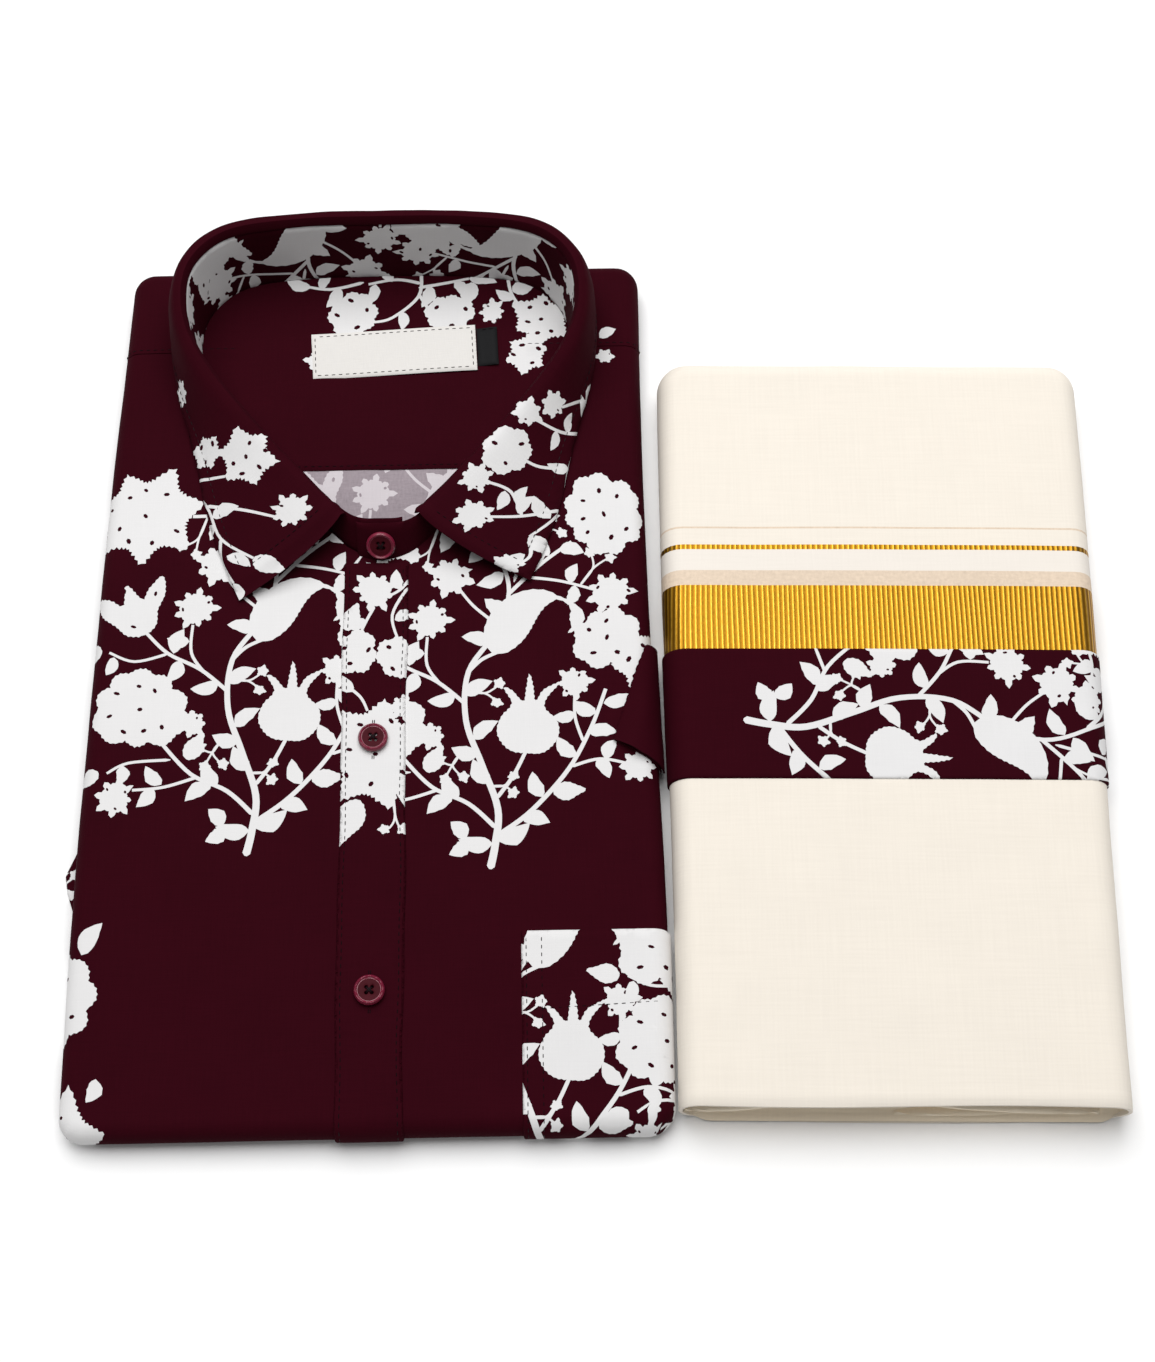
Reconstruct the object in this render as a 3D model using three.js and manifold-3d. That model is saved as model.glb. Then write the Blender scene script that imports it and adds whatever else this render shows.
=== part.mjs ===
// A short-sleeved shirt, folded flat with its collar standing, and a folded mundu beside it.
// Millimetres. +X runs to the viewer's right, +Y away from the viewer, +Z up from the table.
// "left" and "right" in a shirt piece's name are the wearer's, so the left front is at +X.
import * as THREE from "three";
import { mergeVertices } from "three/addons/utils/BufferGeometryUtils.js";
import Module from "manifold-3d";

const wasm = await Module();
wasm.setup();

// Sizes that the whole set shares
const SEAM_GAP = 0.3;
const CLOTH = 1.2;
const SHIRT_AT = { x: -78, y: 0 };
const MUNDU_AT = { x: 118.9, y: -21.5, turnDegrees: -1.4 };
const COLLAR_SHIFT = 1.6;

// The folded shirt: how far it reaches to each side of its button line, and its height, front to back
const SHIRT_SECTIONS = [
  { y: -180, left: 109, right: 112.6, height: 12.6 },
  { y: -90, left: 109.4, right: 112.8, height: 14.4 },
  { y: 0, left: 107.3, right: 111, height: 15.4 },
  { y: 90, left: 106.3, right: 108.4, height: 16 },
  { y: 180, left: 106.8, right: 104.6, height: 16.2 },
];
const SHIRT_FRONT = -180.2;
const SHIRT_BACK = 184;
const SHIRT_RIM = 6.5;
const SHIRT_CORNER = 9.5;
const SHIRT_CROWN = 0.5;

// The folded mundu, in the same way
const MUNDU_SECTIONS = [
  { y: -154, left: 81, right: 82.2, height: 19.6 },
  { y: -51, left: 82.2, right: 83.6, height: 20.2 },
  { y: 51, left: 83.8, right: 86.2, height: 20.2 },
  { y: 154, left: 84.4, right: 87.4, height: 19.4 },
];
const MUNDU_FRONT = -153.5;
const MUNDU_BACK = 154.5;
const MUNDU_RIM = 8.5;
const MUNDU_CORNER = 12;
const MUNDU_CROWN = 0.5;

// Seams and sewn-on pieces of the shirt
const YOKE_SEAM_Y = 143;
const INNER_YOKE_SEAM_Y = 90.6;
const PLACKET = { x: -0.6, width: 25, top: 44.8, thick: 1 };
const POCKET = { x: 55, top: -106, thick: 1 };
const BUTTON = { diameter: 11.4, thick: 2.4, rimWidth: 1.3, rimRise: 0.6, holeDiameter: 1.7, holeAt: 1.5 };
const BUTTONS_Y = { upper: -29.5, lower: -128 };
const LABEL = { x: 5, y: 143.6, width: 68, depth: 21, turnDegrees: 2.5, thick: 0.8 };
const SIZE_TAB = { x: 43.6, y: 145.6, width: 8.6, depth: 17.5, turnDegrees: 2.5, thick: 0.8 };

// The collar from the middle of the back (first row) to the end of the leaf (ninth row) and the
// middle of the front (last row): the neck seam, the roll line and the leaf's free edge
const COLLAR_STATIONS = [
  { seamX: 0, seamY: 180.6, rollX: 0, rollY: 184.8, rollZ: 48.5, edgeX: 0, edgeY: 197.4, edgeZ: 10 },
  { seamX: 31, seamY: 180, rollX: 32.5, rollY: 184.2, rollZ: 48.5, edgeX: 35.5, edgeY: 196.4, edgeZ: 11 },
  { seamX: 58, seamY: 176, rollX: 61.5, rollY: 179.8, rollZ: 48, edgeX: 67, edgeY: 190.6, edgeZ: 15 },
  { seamX: 72.4, seamY: 164, rollX: 76, rollY: 167, rollZ: 47, edgeX: 83, edgeY: 172, edgeZ: 17.9 },
  { seamX: 76.8, seamY: 148, rollX: 78.8, rollY: 148.5, rollZ: 45, edgeX: 86.4, edgeY: 146.5, edgeZ: 17.9 },
  { seamX: 72.5, seamY: 130, rollX: 73, rollY: 130.5, rollZ: 41, edgeX: 83, edgeY: 121, edgeZ: 17.8 },
  { seamX: 56, seamY: 105, rollX: 56.2, rollY: 107.5, rollZ: 36.5, edgeX: 76, edgeY: 94, edgeZ: 17.7 },
  { seamX: 35, seamY: 77.5, rollX: 35, rollY: 83, rollZ: 32.5, edgeX: 68, edgeY: 61, edgeZ: 17.6 },
  { seamX: 13.5, seamY: 53, rollX: 13.5, rollY: 61.5, rollZ: 30, edgeX: 55.5, edgeY: 29.5, edgeZ: 17.6 },
  { seamX: 0, seamY: 47.5, rollX: 0, rollY: 58, rollZ: 31, edgeX: 40, edgeY: 0, edgeZ: 17.6 },
];
const LEAF_END_STATION = 8;
// The left point lies a little further out and back than the right one
const LEFT_TIP = { x: 3, y: 6.4 };
const STAND = { thick: 1.6, kneeZ: 15.5, lapPlaces: 0.74, lapApart: 1.05, belowRoll: 3 };
const LEAF = { thick: 1.6, bow: 1.2, frontSwell: 3 };
// The rolled top of the leaf, across: how far out from the roll line, and how far above it
const LEAF_ROLL = [
  { out: 0, rise: -2.65 },
  { out: 0.25, rise: -1 },
  { out: 1.2, rise: 0.2 },
  { out: 2.7, rise: 0.4 },
  { out: 4, rise: -0.6 },
];
const LEAF_FALL = [0.33, 0.67, 1];
// The top of the cloth inside the neck, which slopes down from the back seam to the front
const NECK_FLOOR = { z: 8, atY: 50, slope: 0.048 };

// The left sleeve's hem corner, folded over the front at the shirt's side, and the right one's,
// which shows from beneath at the other side
const SLEEVE_LEFT = { topY: 8, foldTop: 104.6, foldHem: 91.5, hemY: -31.5, hemSlope: -0.6, thick: 1, mouth: 2.2 };
const SLEEVE_RIGHT = {
  thick: 2.2,
  outline: [
    { x: -88, y: -54 },
    { x: -110.5, y: -59 },
    { x: -118, y: -77 },
    { x: -116.8, y: -84 },
    { x: -111, y: -101 },
    { x: -88, y: -104 },
  ],
};

// The mundu's sewn-on printed band, and the folds that show in its open end
const BAND = { front: -29.8, back: 23.8, thick: 1 };
const UNDER_SHEET = { thick: 1.2, forward: 1.6 };
const CORE_RECESS = 3.6;
const CORE_PLIES = 5;
const PLY_GROOVE = 1.6;
const INNER_FOLDS = [
  { name: "mundu_inner_fold_upper", z: 13.6, sag: -2.4, forward: 1.9, halfWidth: 66 },
  { name: "mundu_inner_fold_lower", z: 5, sag: 1.4, forward: 1.5, halfWidth: 60 },
];

const COLOURS = {
  maroon: 0x320b17,
  maroonShade: 0x280812,
  cream: 0xf6eee2,
  creamShade: 0xe6dac8,
  reverse: 0xb9adb2,
  label: 0xe9e6e1,
  tab: 0x141316,
  button: 0x7a1f38,
};

const UP = new THREE.Vector3(0, 0, 1);
const point = (x, y, z) => new THREE.Vector3(x, y, z);
const radians = THREE.MathUtils.degToRad;
const { clamp, lerp } = THREE.MathUtils;

// The value of one column at a place among evenly spaced rows, on a smooth curve through them
function smooth(rows, column, place) {
  const last = rows.length - 1;
  const i = clamp(Math.floor(place), 0, last - 1);
  const t = place - i;
  const [a, b, c, d] = [i - 1, i, i + 1, i + 2].map((k) => rows[clamp(k, 0, last)][column]);
  return b + 0.5 * t * (c - a + t * (2 * a - 5 * b + 4 * c - d + t * (3 * (b - c) + d - a)));
}

// An indexed geometry, with its faces turned round if they were inside out
function closedGeometry(positions, index) {
  const corner = (k) => point(...positions.slice(3 * index[k], 3 * index[k] + 3));
  let volume = 0;
  for (let k = 0; k < index.length; k += 3) {
    volume += corner(k).dot(corner(k + 1).cross(corner(k + 2)));
  }
  const geometry = new THREE.BufferGeometry();
  geometry.setAttribute("position", new THREE.Float32BufferAttribute(positions, 3));
  geometry.setIndex(volume < 0 ? [...index].reverse() : index);
  return geometry;
}

// A closed solid between two grids of points that have the same rows and columns
function betweenGrids(outer, inner) {
  const [rows, columns] = [outer.length, outer[0].length];
  const positions = [...outer.flat(), ...inner.flat()].flatMap((p) => [p.x, p.y, p.z]);
  const at = (side, i, j) => (side * rows + i) * columns + j;
  const index = [];
  const quad = (a, b, c, d) => index.push(a, b, c, a, c, d);
  for (let i = 0; i + 1 < rows; i++) {
    for (let j = 0; j + 1 < columns; j++) {
      quad(at(0, i, j), at(0, i, j + 1), at(0, i + 1, j + 1), at(0, i + 1, j));
      quad(at(1, i, j), at(1, i + 1, j), at(1, i + 1, j + 1), at(1, i, j + 1));
    }
  }
  for (let i = 0; i + 1 < rows; i++) {
    quad(at(0, i, 0), at(0, i + 1, 0), at(1, i + 1, 0), at(1, i, 0));
    const j = columns - 1;
    quad(at(0, i, j), at(1, i, j), at(1, i + 1, j), at(0, i + 1, j));
  }
  for (let j = 0; j + 1 < columns; j++) {
    quad(at(0, 0, j), at(1, 0, j), at(1, 0, j + 1), at(0, 0, j + 1));
    const i = rows - 1;
    quad(at(0, i, j), at(0, i, j + 1), at(1, i, j + 1), at(1, i, j));
  }
  return closedGeometry(positions, index);
}

// A wall of even thickness about a grid of points, along the grid's own normals
function thicken(grid, thick) {
  const [lastRow, lastColumn] = [grid.length - 1, grid[0].length - 1];
  const moved = (side) =>
    grid.map((row, i) =>
      row.map((p, j) => {
        const alongRow = row[Math.min(j + 1, lastColumn)].clone().sub(row[Math.max(j - 1, 0)]);
        const [above, below] = [grid[Math.max(i - 1, 0)][j], grid[Math.min(i + 1, lastRow)][j]];
        const normal = alongRow.cross(below.clone().sub(above)).normalize();
        return p.clone().addScaledVector(normal, (side * thick) / 2);
      }),
    );
  return betweenGrids(moved(1), moved(-1));
}

// A prism on an outline, whose floor and ceiling are functions of y
function prism(outline, floorAt, ceilingAt) {
  const shape = new THREE.Shape(outline.map((p) => new THREE.Vector2(p.x, p.y)));
  const geometry = new THREE.ExtrudeGeometry(shape, { depth: 1, bevelEnabled: false });
  const position = geometry.getAttribute("position");
  for (let k = 0; k < position.count; k++) {
    const at = position.getZ(k) < 0.5 ? floorAt : ceilingAt;
    position.setZ(k, at(position.getY(k)));
  }
  return geometry;
}

function solidOf(geometry) {
  const bare = new THREE.BufferGeometry();
  bare.setAttribute("position", geometry.getAttribute("position"));
  bare.setIndex(geometry.index);
  const merged = mergeVertices(bare, 1e-4);
  const vertProperties = new Float32Array(merged.getAttribute("position").array);
  const triVerts = new Uint32Array(merged.index.array);
  return new wasm.Manifold(new wasm.Mesh({ numProp: 3, vertProperties, triVerts }));
}

function geometryOf(solid) {
  const { vertProperties, triVerts } = solid.getMesh();
  const geometry = new THREE.BufferGeometry();
  geometry.setAttribute("position", new THREE.BufferAttribute(vertProperties, 3));
  geometry.setIndex(new THREE.BufferAttribute(triVerts, 1));
  return geometry;
}

function cut(geometry, ...tools) {
  return geometryOf(tools.reduce((left, tool) => left.subtract(solidOf(tool)), solidOf(geometry)));
}

function box(x0, x1, y0, y1, z0, z1) {
  const geometry = new THREE.BoxGeometry(x1 - x0, y1 - y0, z1 - z0);
  return geometry.translate((x0 + x1) / 2, (y0 + y1) / 2, (z0 + z1) / 2);
}

const between = (a, b, count) => Array.from({ length: count + 1 }, (_, k) => lerp(a, b, k / count));

// How far a wrapped sheet goes round a rim, in degrees: to beneath, or to just short of the table
const FULL_WRAP = [25, 50, 75, 100, 125, 150, 180];
const PART_WRAP = [25, 50, 75, 100, 120, 138];
const BLOCK_WRAP = [20, 35, 50, 65, 80];

// A flat pile of folded cloth with soft rims. Its outer skin is a map of the cloth's own two
// coordinates: u across and v along, over the top and then half round the rim at a side or an end.
class Pile {
  constructor(sections, { front, back, rim, corner, crown, openFront }) {
    Object.assign(this, { sections, front, back, rim, corner, crown, openFront });
    this.flat = corner - rim;
  }

  across(y, column) {
    const [first, second] = this.sections;
    return smooth(this.sections, column, (y - first.y) / (second.y - first.y));
  }

  // How far the pile reaches at a y, at +X (the wearer's left) or at -X
  reach(y, side) {
    const level = clamp(y, this.front + this.corner, this.back - this.corner);
    return this.across(level, side > 0 ? "left" : "right");
  }

  height(x, y) {
    const share = x / this.reach(y, Math.sign(x) || 1);
    return this.across(y, "height") + this.crown * (1 - Math.min(1, share * share));
  }

  // Where a rim angle is, in cloth coordinates outwards from where the corner begins
  rimPlace(degrees) {
    return this.flat + radians(degrees) * this.rim;
  }

  // The point at u and v, as deep below the outer skin as inset says, or above it if negative
  skin(u, v, inset) {
    const side = Math.sign(u) || 1;
    const end = Math.sign(v - this.middle) || 1;
    const frontLimit = this.openFront ? -Infinity : this.front + this.corner;
    const y = clamp(v, frontLimit, this.back - this.corner);
    const start = this.reach(y, side) - this.corner;
    const x = Math.min(Math.abs(u), start);
    const [overSide, overEnd] = [Math.abs(u) - x, Math.abs(v - y)];
    const over = Math.max(overSide, overEnd);
    const angle = clamp((over - this.flat) / this.rim, 0, Math.PI);
    const out = Math.min(over, this.flat) + (this.rim - inset) * Math.sin(angle);
    const share = (Math.PI / 4) * (Math.min(overSide, overEnd) / (over || 1));
    const turn = overSide >= overEnd ? share : Math.PI / 2 - share;
    const top = this.height(side * x, y);
    const drop = (top / 2 - inset) * (1 - Math.cos(angle));
    return point(side * (x + out * Math.cos(turn)), y + end * out * Math.sin(turn), top - inset - drop);
  }

  get middle() {
    return (this.front + this.back) / 2;
  }

  // Places across: from one u, over the flat and then round the rim at a side
  columns(from, side, count, wrap) {
    const onFlat = between(0, 1, count).map((share) => (v) => {
      return lerp(from, side * (this.reach(v, side) - this.corner), share);
    });
    const onRim = [0, ...wrap].map((degrees) => (v) => {
      return side * (this.reach(v, side) - this.corner + this.rimPlace(degrees));
    });
    return [...onFlat, ...onRim];
  }

  // Places along: from one v, over the flat and then round the rim at an end
  rows(from, end, count, wrap) {
    const start = end > 0 ? this.back - this.corner : this.front + this.corner;
    const onRim = [0, ...wrap].map((degrees) => start + end * this.rimPlace(degrees));
    return [...between(from, start, count), ...onRim];
  }

  // A sheet on the skin, between two depths
  sheet(columns, rows, near, far) {
    const grid = (inset) => rows.map((v) => columns.map((column) => this.skin(column(v), v, inset)));
    return betweenGrids(grid(near), grid(far));
  }

  // The layers inside, as one rounded block whose rim steps in and out by the groove. Its flat foot
  // reaches down to footZ, within the ends of the sheets that wrap it.
  block({ inset, groove, footZ, front, counts }) {
    const rings = [
      { place: this.flat - 0.9, extra: 0, foot: true },
      { place: this.flat - 0.2, extra: 0 },
      ...BLOCK_WRAP.map((degrees, k) => ({ place: this.rimPlace(degrees), extra: k % 2 ? groove : 0 })),
    ];
    const flat = { place: -1, extra: 0, foot: true };
    const sideColumns = (side) => [
      ...between(0, 1, counts.across).map((share) => ({
        ...flat,
        u: (v) => side * share * (this.reach(v, side) - this.corner),
      })),
      ...rings.map((ring) => ({ ...ring, u: (v) => side * (this.reach(v, side) - this.corner + ring.place) })),
    ];
    const endRows = (end) => {
      const start = end > 0 ? this.back - this.corner : this.front + this.corner;
      return rings.map((ring) => ({ ...ring, v: start + end * ring.place }));
    };
    const [firstV, lastV] = [this.openFront ? front : this.front + this.corner, this.back - this.corner];
    const rows = [
      ...(this.openFront ? [] : endRows(-1).reverse()),
      ...between(firstV, lastV, counts.along).map((v) => ({ ...flat, v })),
      ...endRows(1),
    ];
    const columns = [...sideColumns(-1).reverse(), ...sideColumns(1).slice(1)];
    const pick = (row, column) => (row.place > column.place ? row : column);
    const upper = rows.map((row) =>
      columns.map((column) => this.skin(column.u(row.v), row.v, inset + pick(row, column).extra)),
    );
    const lower = upper.map((line, i) =>
      line.map((p, j) => {
        const y = clamp(rows[i].v, this.openFront ? -Infinity : this.front + this.corner, lastV);
        const side = Math.sign(columns[j].u(y)) || 1;
        const x = Math.min(Math.abs(columns[j].u(y)), this.reach(y, side) - this.corner);
        const z = pick(rows[i], columns[j]).foot ? footZ : this.height(side * x, y) - p.z;
        return point(p.x, p.y, z);
      }),
    );
    return betweenGrids(upper, lower);
  }
}

const shirtPile = new Pile(SHIRT_SECTIONS, {
  front: SHIRT_FRONT,
  back: SHIRT_BACK,
  rim: SHIRT_RIM,
  corner: SHIRT_CORNER,
  crown: SHIRT_CROWN,
  openFront: false,
});
const munduPile = new Pile(MUNDU_SECTIONS, {
  front: MUNDU_FRONT,
  back: MUNDU_BACK,
  rim: MUNDU_RIM,
  corner: MUNDU_CORNER,
  crown: MUNDU_CROWN,
  openFront: true,
});

// A point of the collar. Places run from the middle of the back, positive on the wearer's left, and
// past the middle of the front they go on along the other side.
function collarPoint(place, part) {
  const last = COLLAR_STATIONS.length - 1;
  const passed = Math.abs(place) > last;
  const at = passed ? 2 * last - Math.abs(place) : Math.abs(place);
  const side = (Math.sign(place) || 1) * (passed ? -1 : 1);
  const [x, y] = [smooth(COLLAR_STATIONS, `${part}X`, at), smooth(COLLAR_STATIONS, `${part}Y`, at)];
  const z = part === "seam" ? neckFloor(y) : smooth(COLLAR_STATIONS, `${part}Z`, at);
  const tip = part === "edge" && side > 0 ? Math.max(0, (at - 5) / 3) ** 2 : 0;
  return point(COLLAR_SHIFT + side * x + tip * LEFT_TIP.x, y + tip * LEFT_TIP.y, z);
}

function neckFloor(y) {
  return NECK_FLOOR.z + NECK_FLOOR.slope * (y - NECK_FLOOR.atY);
}

// The way out from the neck, level, at a place of the collar
function collarOutward(place) {
  const along = collarPoint(place + 0.05, "seam").sub(collarPoint(place - 0.05, "seam"));
  return point(-along.y, along.x, 0).normalize();
}

// The neck seam as a closed outline, moved outwards by some millimetres
function neckOutline(outwards) {
  const last = COLLAR_STATIONS.length - 1;
  return between(-last, last, 2 * last * 3)
    .slice(0, -1)
    .map((place) => collarPoint(place, "seam").addScaledVector(collarOutward(place), outwards));
}

const STAND_SLOT = STAND.thick / 2 + SEAM_GAP + STAND.lapApart;
const BED = CLOTH + SEAM_GAP;
const neckWell = () => prism(neckOutline(STAND_SLOT), (y) => neckFloor(y) - BED, () => 60);

// Room at the right side fold for the sleeve corner that comes out from beneath it
function sleeveRoom() {
  const shape = SLEEVE_RIGHT.outline.map(({ x, y }) => point(x, y, 0));
  const middle = shape.reduce((sum, p) => sum.add(p), point(0, 0, 0)).divideScalar(shape.length);
  const grown = shape.map((p) => p.clone().addScaledVector(p.clone().sub(middle).normalize(), 2 * SEAM_GAP));
  return prism(grown, () => -1, () => SLEEVE_RIGHT.thick + SEAM_GAP);
}

function shirtFront(side) {
  const columns = shirtPile.columns((side * SEAM_GAP) / 2 + PLACKET.x, side, 5, FULL_WRAP);
  const rows = shirtPile.rows(YOKE_SEAM_Y - SEAM_GAP / 2, -1, 9, FULL_WRAP);
  const panel = shirtPile.sheet(columns, rows, 0, CLOTH);
  return side > 0 ? cut(panel, neckWell()) : cut(panel, neckWell(), sleeveRoom());
}

// The outer yoke, from its seams on the fronts back over the shoulder fold
function outerYoke() {
  const columns = [
    ...shirtPile.columns(0, -1, 5, FULL_WRAP).reverse(),
    ...shirtPile.columns(0, 1, 5, FULL_WRAP).slice(1),
  ];
  const rows = shirtPile.rows(YOKE_SEAM_Y + SEAM_GAP / 2, 1, 3, FULL_WRAP);
  return cut(shirtPile.sheet(columns, rows, 0, CLOTH), neckWell());
}

// What shows inside the neck: the inner yoke behind its seam, and the back before it
function insideNeck(fromY, toY) {
  const sheet = prism(neckOutline(-STAND_SLOT), (y) => neckFloor(y) - CLOTH, neckFloor);
  return geometryOf(solidOf(sheet).intersect(solidOf(box(-200, 200, fromY, toY, -60, 60))));
}

// The sides, sleeves, back and tail that are folded away beneath
function shirtFoldedLayers() {
  const counts = { across: 4, along: 9 };
  const layers = shirtPile.block({ inset: BED, groove: 0.5, footZ: 0, counts });
  return cut(layers, neckWell(), sleeveRoom());
}

// The collar's upright band, sewn in at the neck and lapped over itself at the front
function collarStand() {
  const last = COLLAR_STATIONS.length - 1;
  const places = between(-last - STAND.lapPlaces, last + STAND.lapPlaces, 62);
  const lapped = (pointAt) => places.map((place) => {
    const lap = STAND.lapApart * THREE.MathUtils.smoothstep(Math.abs(place), 6.6, 8.2) * Math.sign(place);
    return pointAt(place).addScaledVector(collarOutward(place), lap);
  });
  const foot = (place) => collarPoint(place, "seam").sub(point(0, 0, CLOTH));
  const rows = [foot, ...[0, 0.33, 0.67, 1].map((share) => (place) => leaningStand(place, share))];
  return thicken(rows.map(lapped), STAND.thick);
}

// The stand's middle line above its seam, which leans from the seam to just below the roll
function leaningStand(place, share) {
  const low = collarPoint(place, "seam").setZ(STAND.kneeZ);
  return low.lerp(collarPoint(place, "roll").sub(point(0, 0, STAND.belowRoll)), share);
}

// The collar's leaf, rolled over the top of the stand and spread at its two points
function collarLeaf() {
  const places = between(-LEAF_END_STATION, LEAF_END_STATION, 48);
  const grid = places.map((place) => {
    const [roll, edge] = [collarPoint(place, "roll"), collarPoint(place, "edge")];
    const out = edge.clone().sub(roll).setZ(0).normalize();
    const rolled = LEAF_ROLL.map((at) => roll.clone().addScaledVector(out, at.out).add(point(0, 0, at.rise)));
    const from = rolled[rolled.length - 1];
    const across = edge.clone().sub(from);
    const forward = point(out.y, -out.x, 0).multiplyScalar(Math.sign(place) || 1);
    const swell = LEAF.frontSwell * Math.max(0, Math.abs(place) - LEAF_END_STATION + 1) ** 2;
    const fall = LEAF_FALL.map((share) => {
      const half = Math.sin(Math.PI * share);
      return from
        .clone()
        .addScaledVector(across, share)
        .addScaledVector(out, LEAF.bow * half)
        .addScaledVector(forward, swell * half);
    });
    return [...rolled, ...fall];
  });
  return thicken(grid, LEAF.thick);
}

// A turned button with a raised rim and four holes, facing +Z on its own base at z = 0
function turnedButton() {
  const { diameter, thick, rimWidth, rimRise, holeDiameter, holeAt } = BUTTON;
  const [radius, inner] = [diameter / 2, diameter / 2 - rimWidth];
  const profile = [
    [0, 0], [radius - 1.2, 0], [radius - 0.2, 0.7], [radius, thick - 0.8], [radius - 0.35, thick - 0.15],
    [radius - 0.7, thick], [inner, thick - rimRise], [0, thick - rimRise - 0.1],
  ];
  const body = new THREE.LatheGeometry(profile.map(([x, y]) => new THREE.Vector2(x, y)), 32);
  const holes = [1, 3, 5, 7].map((k) => {
    const hole = new THREE.CylinderGeometry(holeDiameter / 2, holeDiameter / 2, 3 * thick, 12);
    const turn = (k * Math.PI) / 4;
    return hole.translate(holeAt * Math.cos(turn), 0, holeAt * Math.sin(turn));
  });
  return cut(body, ...holes).rotateX(Math.PI / 2);
}

function buttonOnPlacket(y) {
  const z = shirtPile.height(PLACKET.x, y) + PLACKET.thick + 2 * SEAM_GAP;
  return turnedButton().translate(PLACKET.x, y, z);
}

function collarButton() {
  const place = COLLAR_STATIONS.length - 1;
  const along = leaningStand(place, 1).sub(leaningStand(place, 0));
  const facing = point(0, -along.z, along.y).normalize();
  const at = leaningStand(place, 0.48).add(point(0, -STAND.lapApart, 0));
  at.addScaledVector(facing, STAND.thick / 2 + SEAM_GAP);
  const turn = new THREE.Quaternion().setFromUnitVectors(UP, facing);
  return turnedButton().applyQuaternion(turn).translate(at.x, at.y, at.z);
}

function placket() {
  const columns = [-0.5, 0, 0.5].map((share) => () => PLACKET.x + share * PLACKET.width);
  const rows = shirtPile.rows(PLACKET.top, -1, 7, PART_WRAP);
  return shirtPile.sheet(columns, rows, -SEAM_GAP - PLACKET.thick, -SEAM_GAP);
}

// The chest pocket, which runs on round the side fold and the front fold
function pocket() {
  const columns = shirtPile.columns(POCKET.x, 1, 3, PART_WRAP);
  const rows = shirtPile.rows(POCKET.top, -1, 4, PART_WRAP);
  return shirtPile.sheet(columns, rows, -SEAM_GAP - POCKET.thick, -SEAM_GAP);
}

// The left sleeve's hem corner: two layers with a fold between, open at the hem
function leftSleeve() {
  const { thick, mouth } = SLEEVE_LEFT;
  const depth = [-SEAM_GAP - thick / 2, -2 * SEAM_GAP - 1.5 * thick];
  const shares = [...between(0, 1, 8).reverse(), ...between(0, 1, 8)];
  const grid = between(0, 1, 6).map((down) => {
    const foldU = lerp(SLEEVE_LEFT.foldTop, SLEEVE_LEFT.foldHem, down);
    const foldV = lerp(SLEEVE_LEFT.topY, SLEEVE_LEFT.hemY, down);
    const side = shirtPile.reach(foldV, 1) - shirtPile.corner + shirtPile.rimPlace(96);
    return shares.map((share, k) => {
      const u = lerp(foldU, side, share);
      const v = foldV + SLEEVE_LEFT.hemSlope * down * Math.min(share * (side - foldU), 18);
      const open = mouth * down * down * Math.sin(Math.PI * Math.min(1, share * 1.5)) ** 2;
      const [isTop, isFold] = [k > 8, share === 0];
      return shirtPile.skin(u, v, isTop ? depth[1] - (isFold ? 0 : open) : depth[0]);
    });
  });
  return thicken(grid, thick);
}

// The right sleeve's corner, flat on the table under the side fold
function rightSleeve() {
  return prism(SLEEVE_RIGHT.outline, () => 0, () => SLEEVE_RIGHT.thick);
}

// A small sewn label on the inner yoke
function label({ x, y, width, depth, turnDegrees, thick }) {
  const turn = radians(turnDegrees);
  const corners = [[-1, -1], [1, -1], [1, 1], [-1, 1]].map(([across, along]) => {
    const [dx, dy] = [(across * width) / 2, (along * depth) / 2];
    return point(x + dx * Math.cos(turn) - dy * Math.sin(turn), y + dx * Math.sin(turn) + dy * Math.cos(turn), 0);
  });
  return prism(corners, (at) => neckFloor(at) + SEAM_GAP, (at) => neckFloor(at) + SEAM_GAP + thick);
}

function munduOuterLayer() {
  const columns = [
    ...munduPile.columns(0, -1, 4, FULL_WRAP).reverse(),
    ...munduPile.columns(0, 1, 4, FULL_WRAP).slice(1),
  ];
  const rows = munduPile.rows(MUNDU_FRONT, 1, 7, FULL_WRAP);
  return munduPile.sheet(columns, rows, 0, CLOTH);
}

// The same cloth beneath the pile, whose edge is the lower lip of the open end
function munduUnderLayer() {
  const inner = MUNDU_RIM + SEAM_GAP;
  const side = (y, sign) => point(sign * (munduPile.reach(y, sign) - inner), y, 0);
  const [front, back] = [MUNDU_FRONT - UNDER_SHEET.forward, MUNDU_BACK - inner];
  const along = between(front, back - MUNDU_CORNER + MUNDU_RIM, 8);
  const outline = [
    ...along.map((y) => side(y, 1)),
    point(munduPile.reach(back, 1) - MUNDU_CORNER, back, 0),
    point(-munduPile.reach(back, -1) + MUNDU_CORNER, back, 0),
    ...along.map((y) => side(y, -1)).reverse(),
  ];
  return prism(outline, () => 0, () => UNDER_SHEET.thick);
}

// The folded layers inside the mundu, with the edges of the folds showing in its open end
function munduFoldedLayers() {
  const front = MUNDU_FRONT + CORE_RECESS;
  const bed = UNDER_SHEET.thick + SEAM_GAP;
  const counts = { across: 4, along: 7 };
  const layers = munduPile.block({ inset: BED, groove: 0.6, footZ: bed, front, counts });
  const [low, high] = [bed, MUNDU_SECTIONS[0].height - BED];
  const grooves = between(low, high, CORE_PLIES).slice(1, -1).map((z) => {
    return box(-200, 200, front - 5, front + PLY_GROOVE, z - 0.25, z + 0.25);
  });
  return cut(layers, ...grooves);
}

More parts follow.
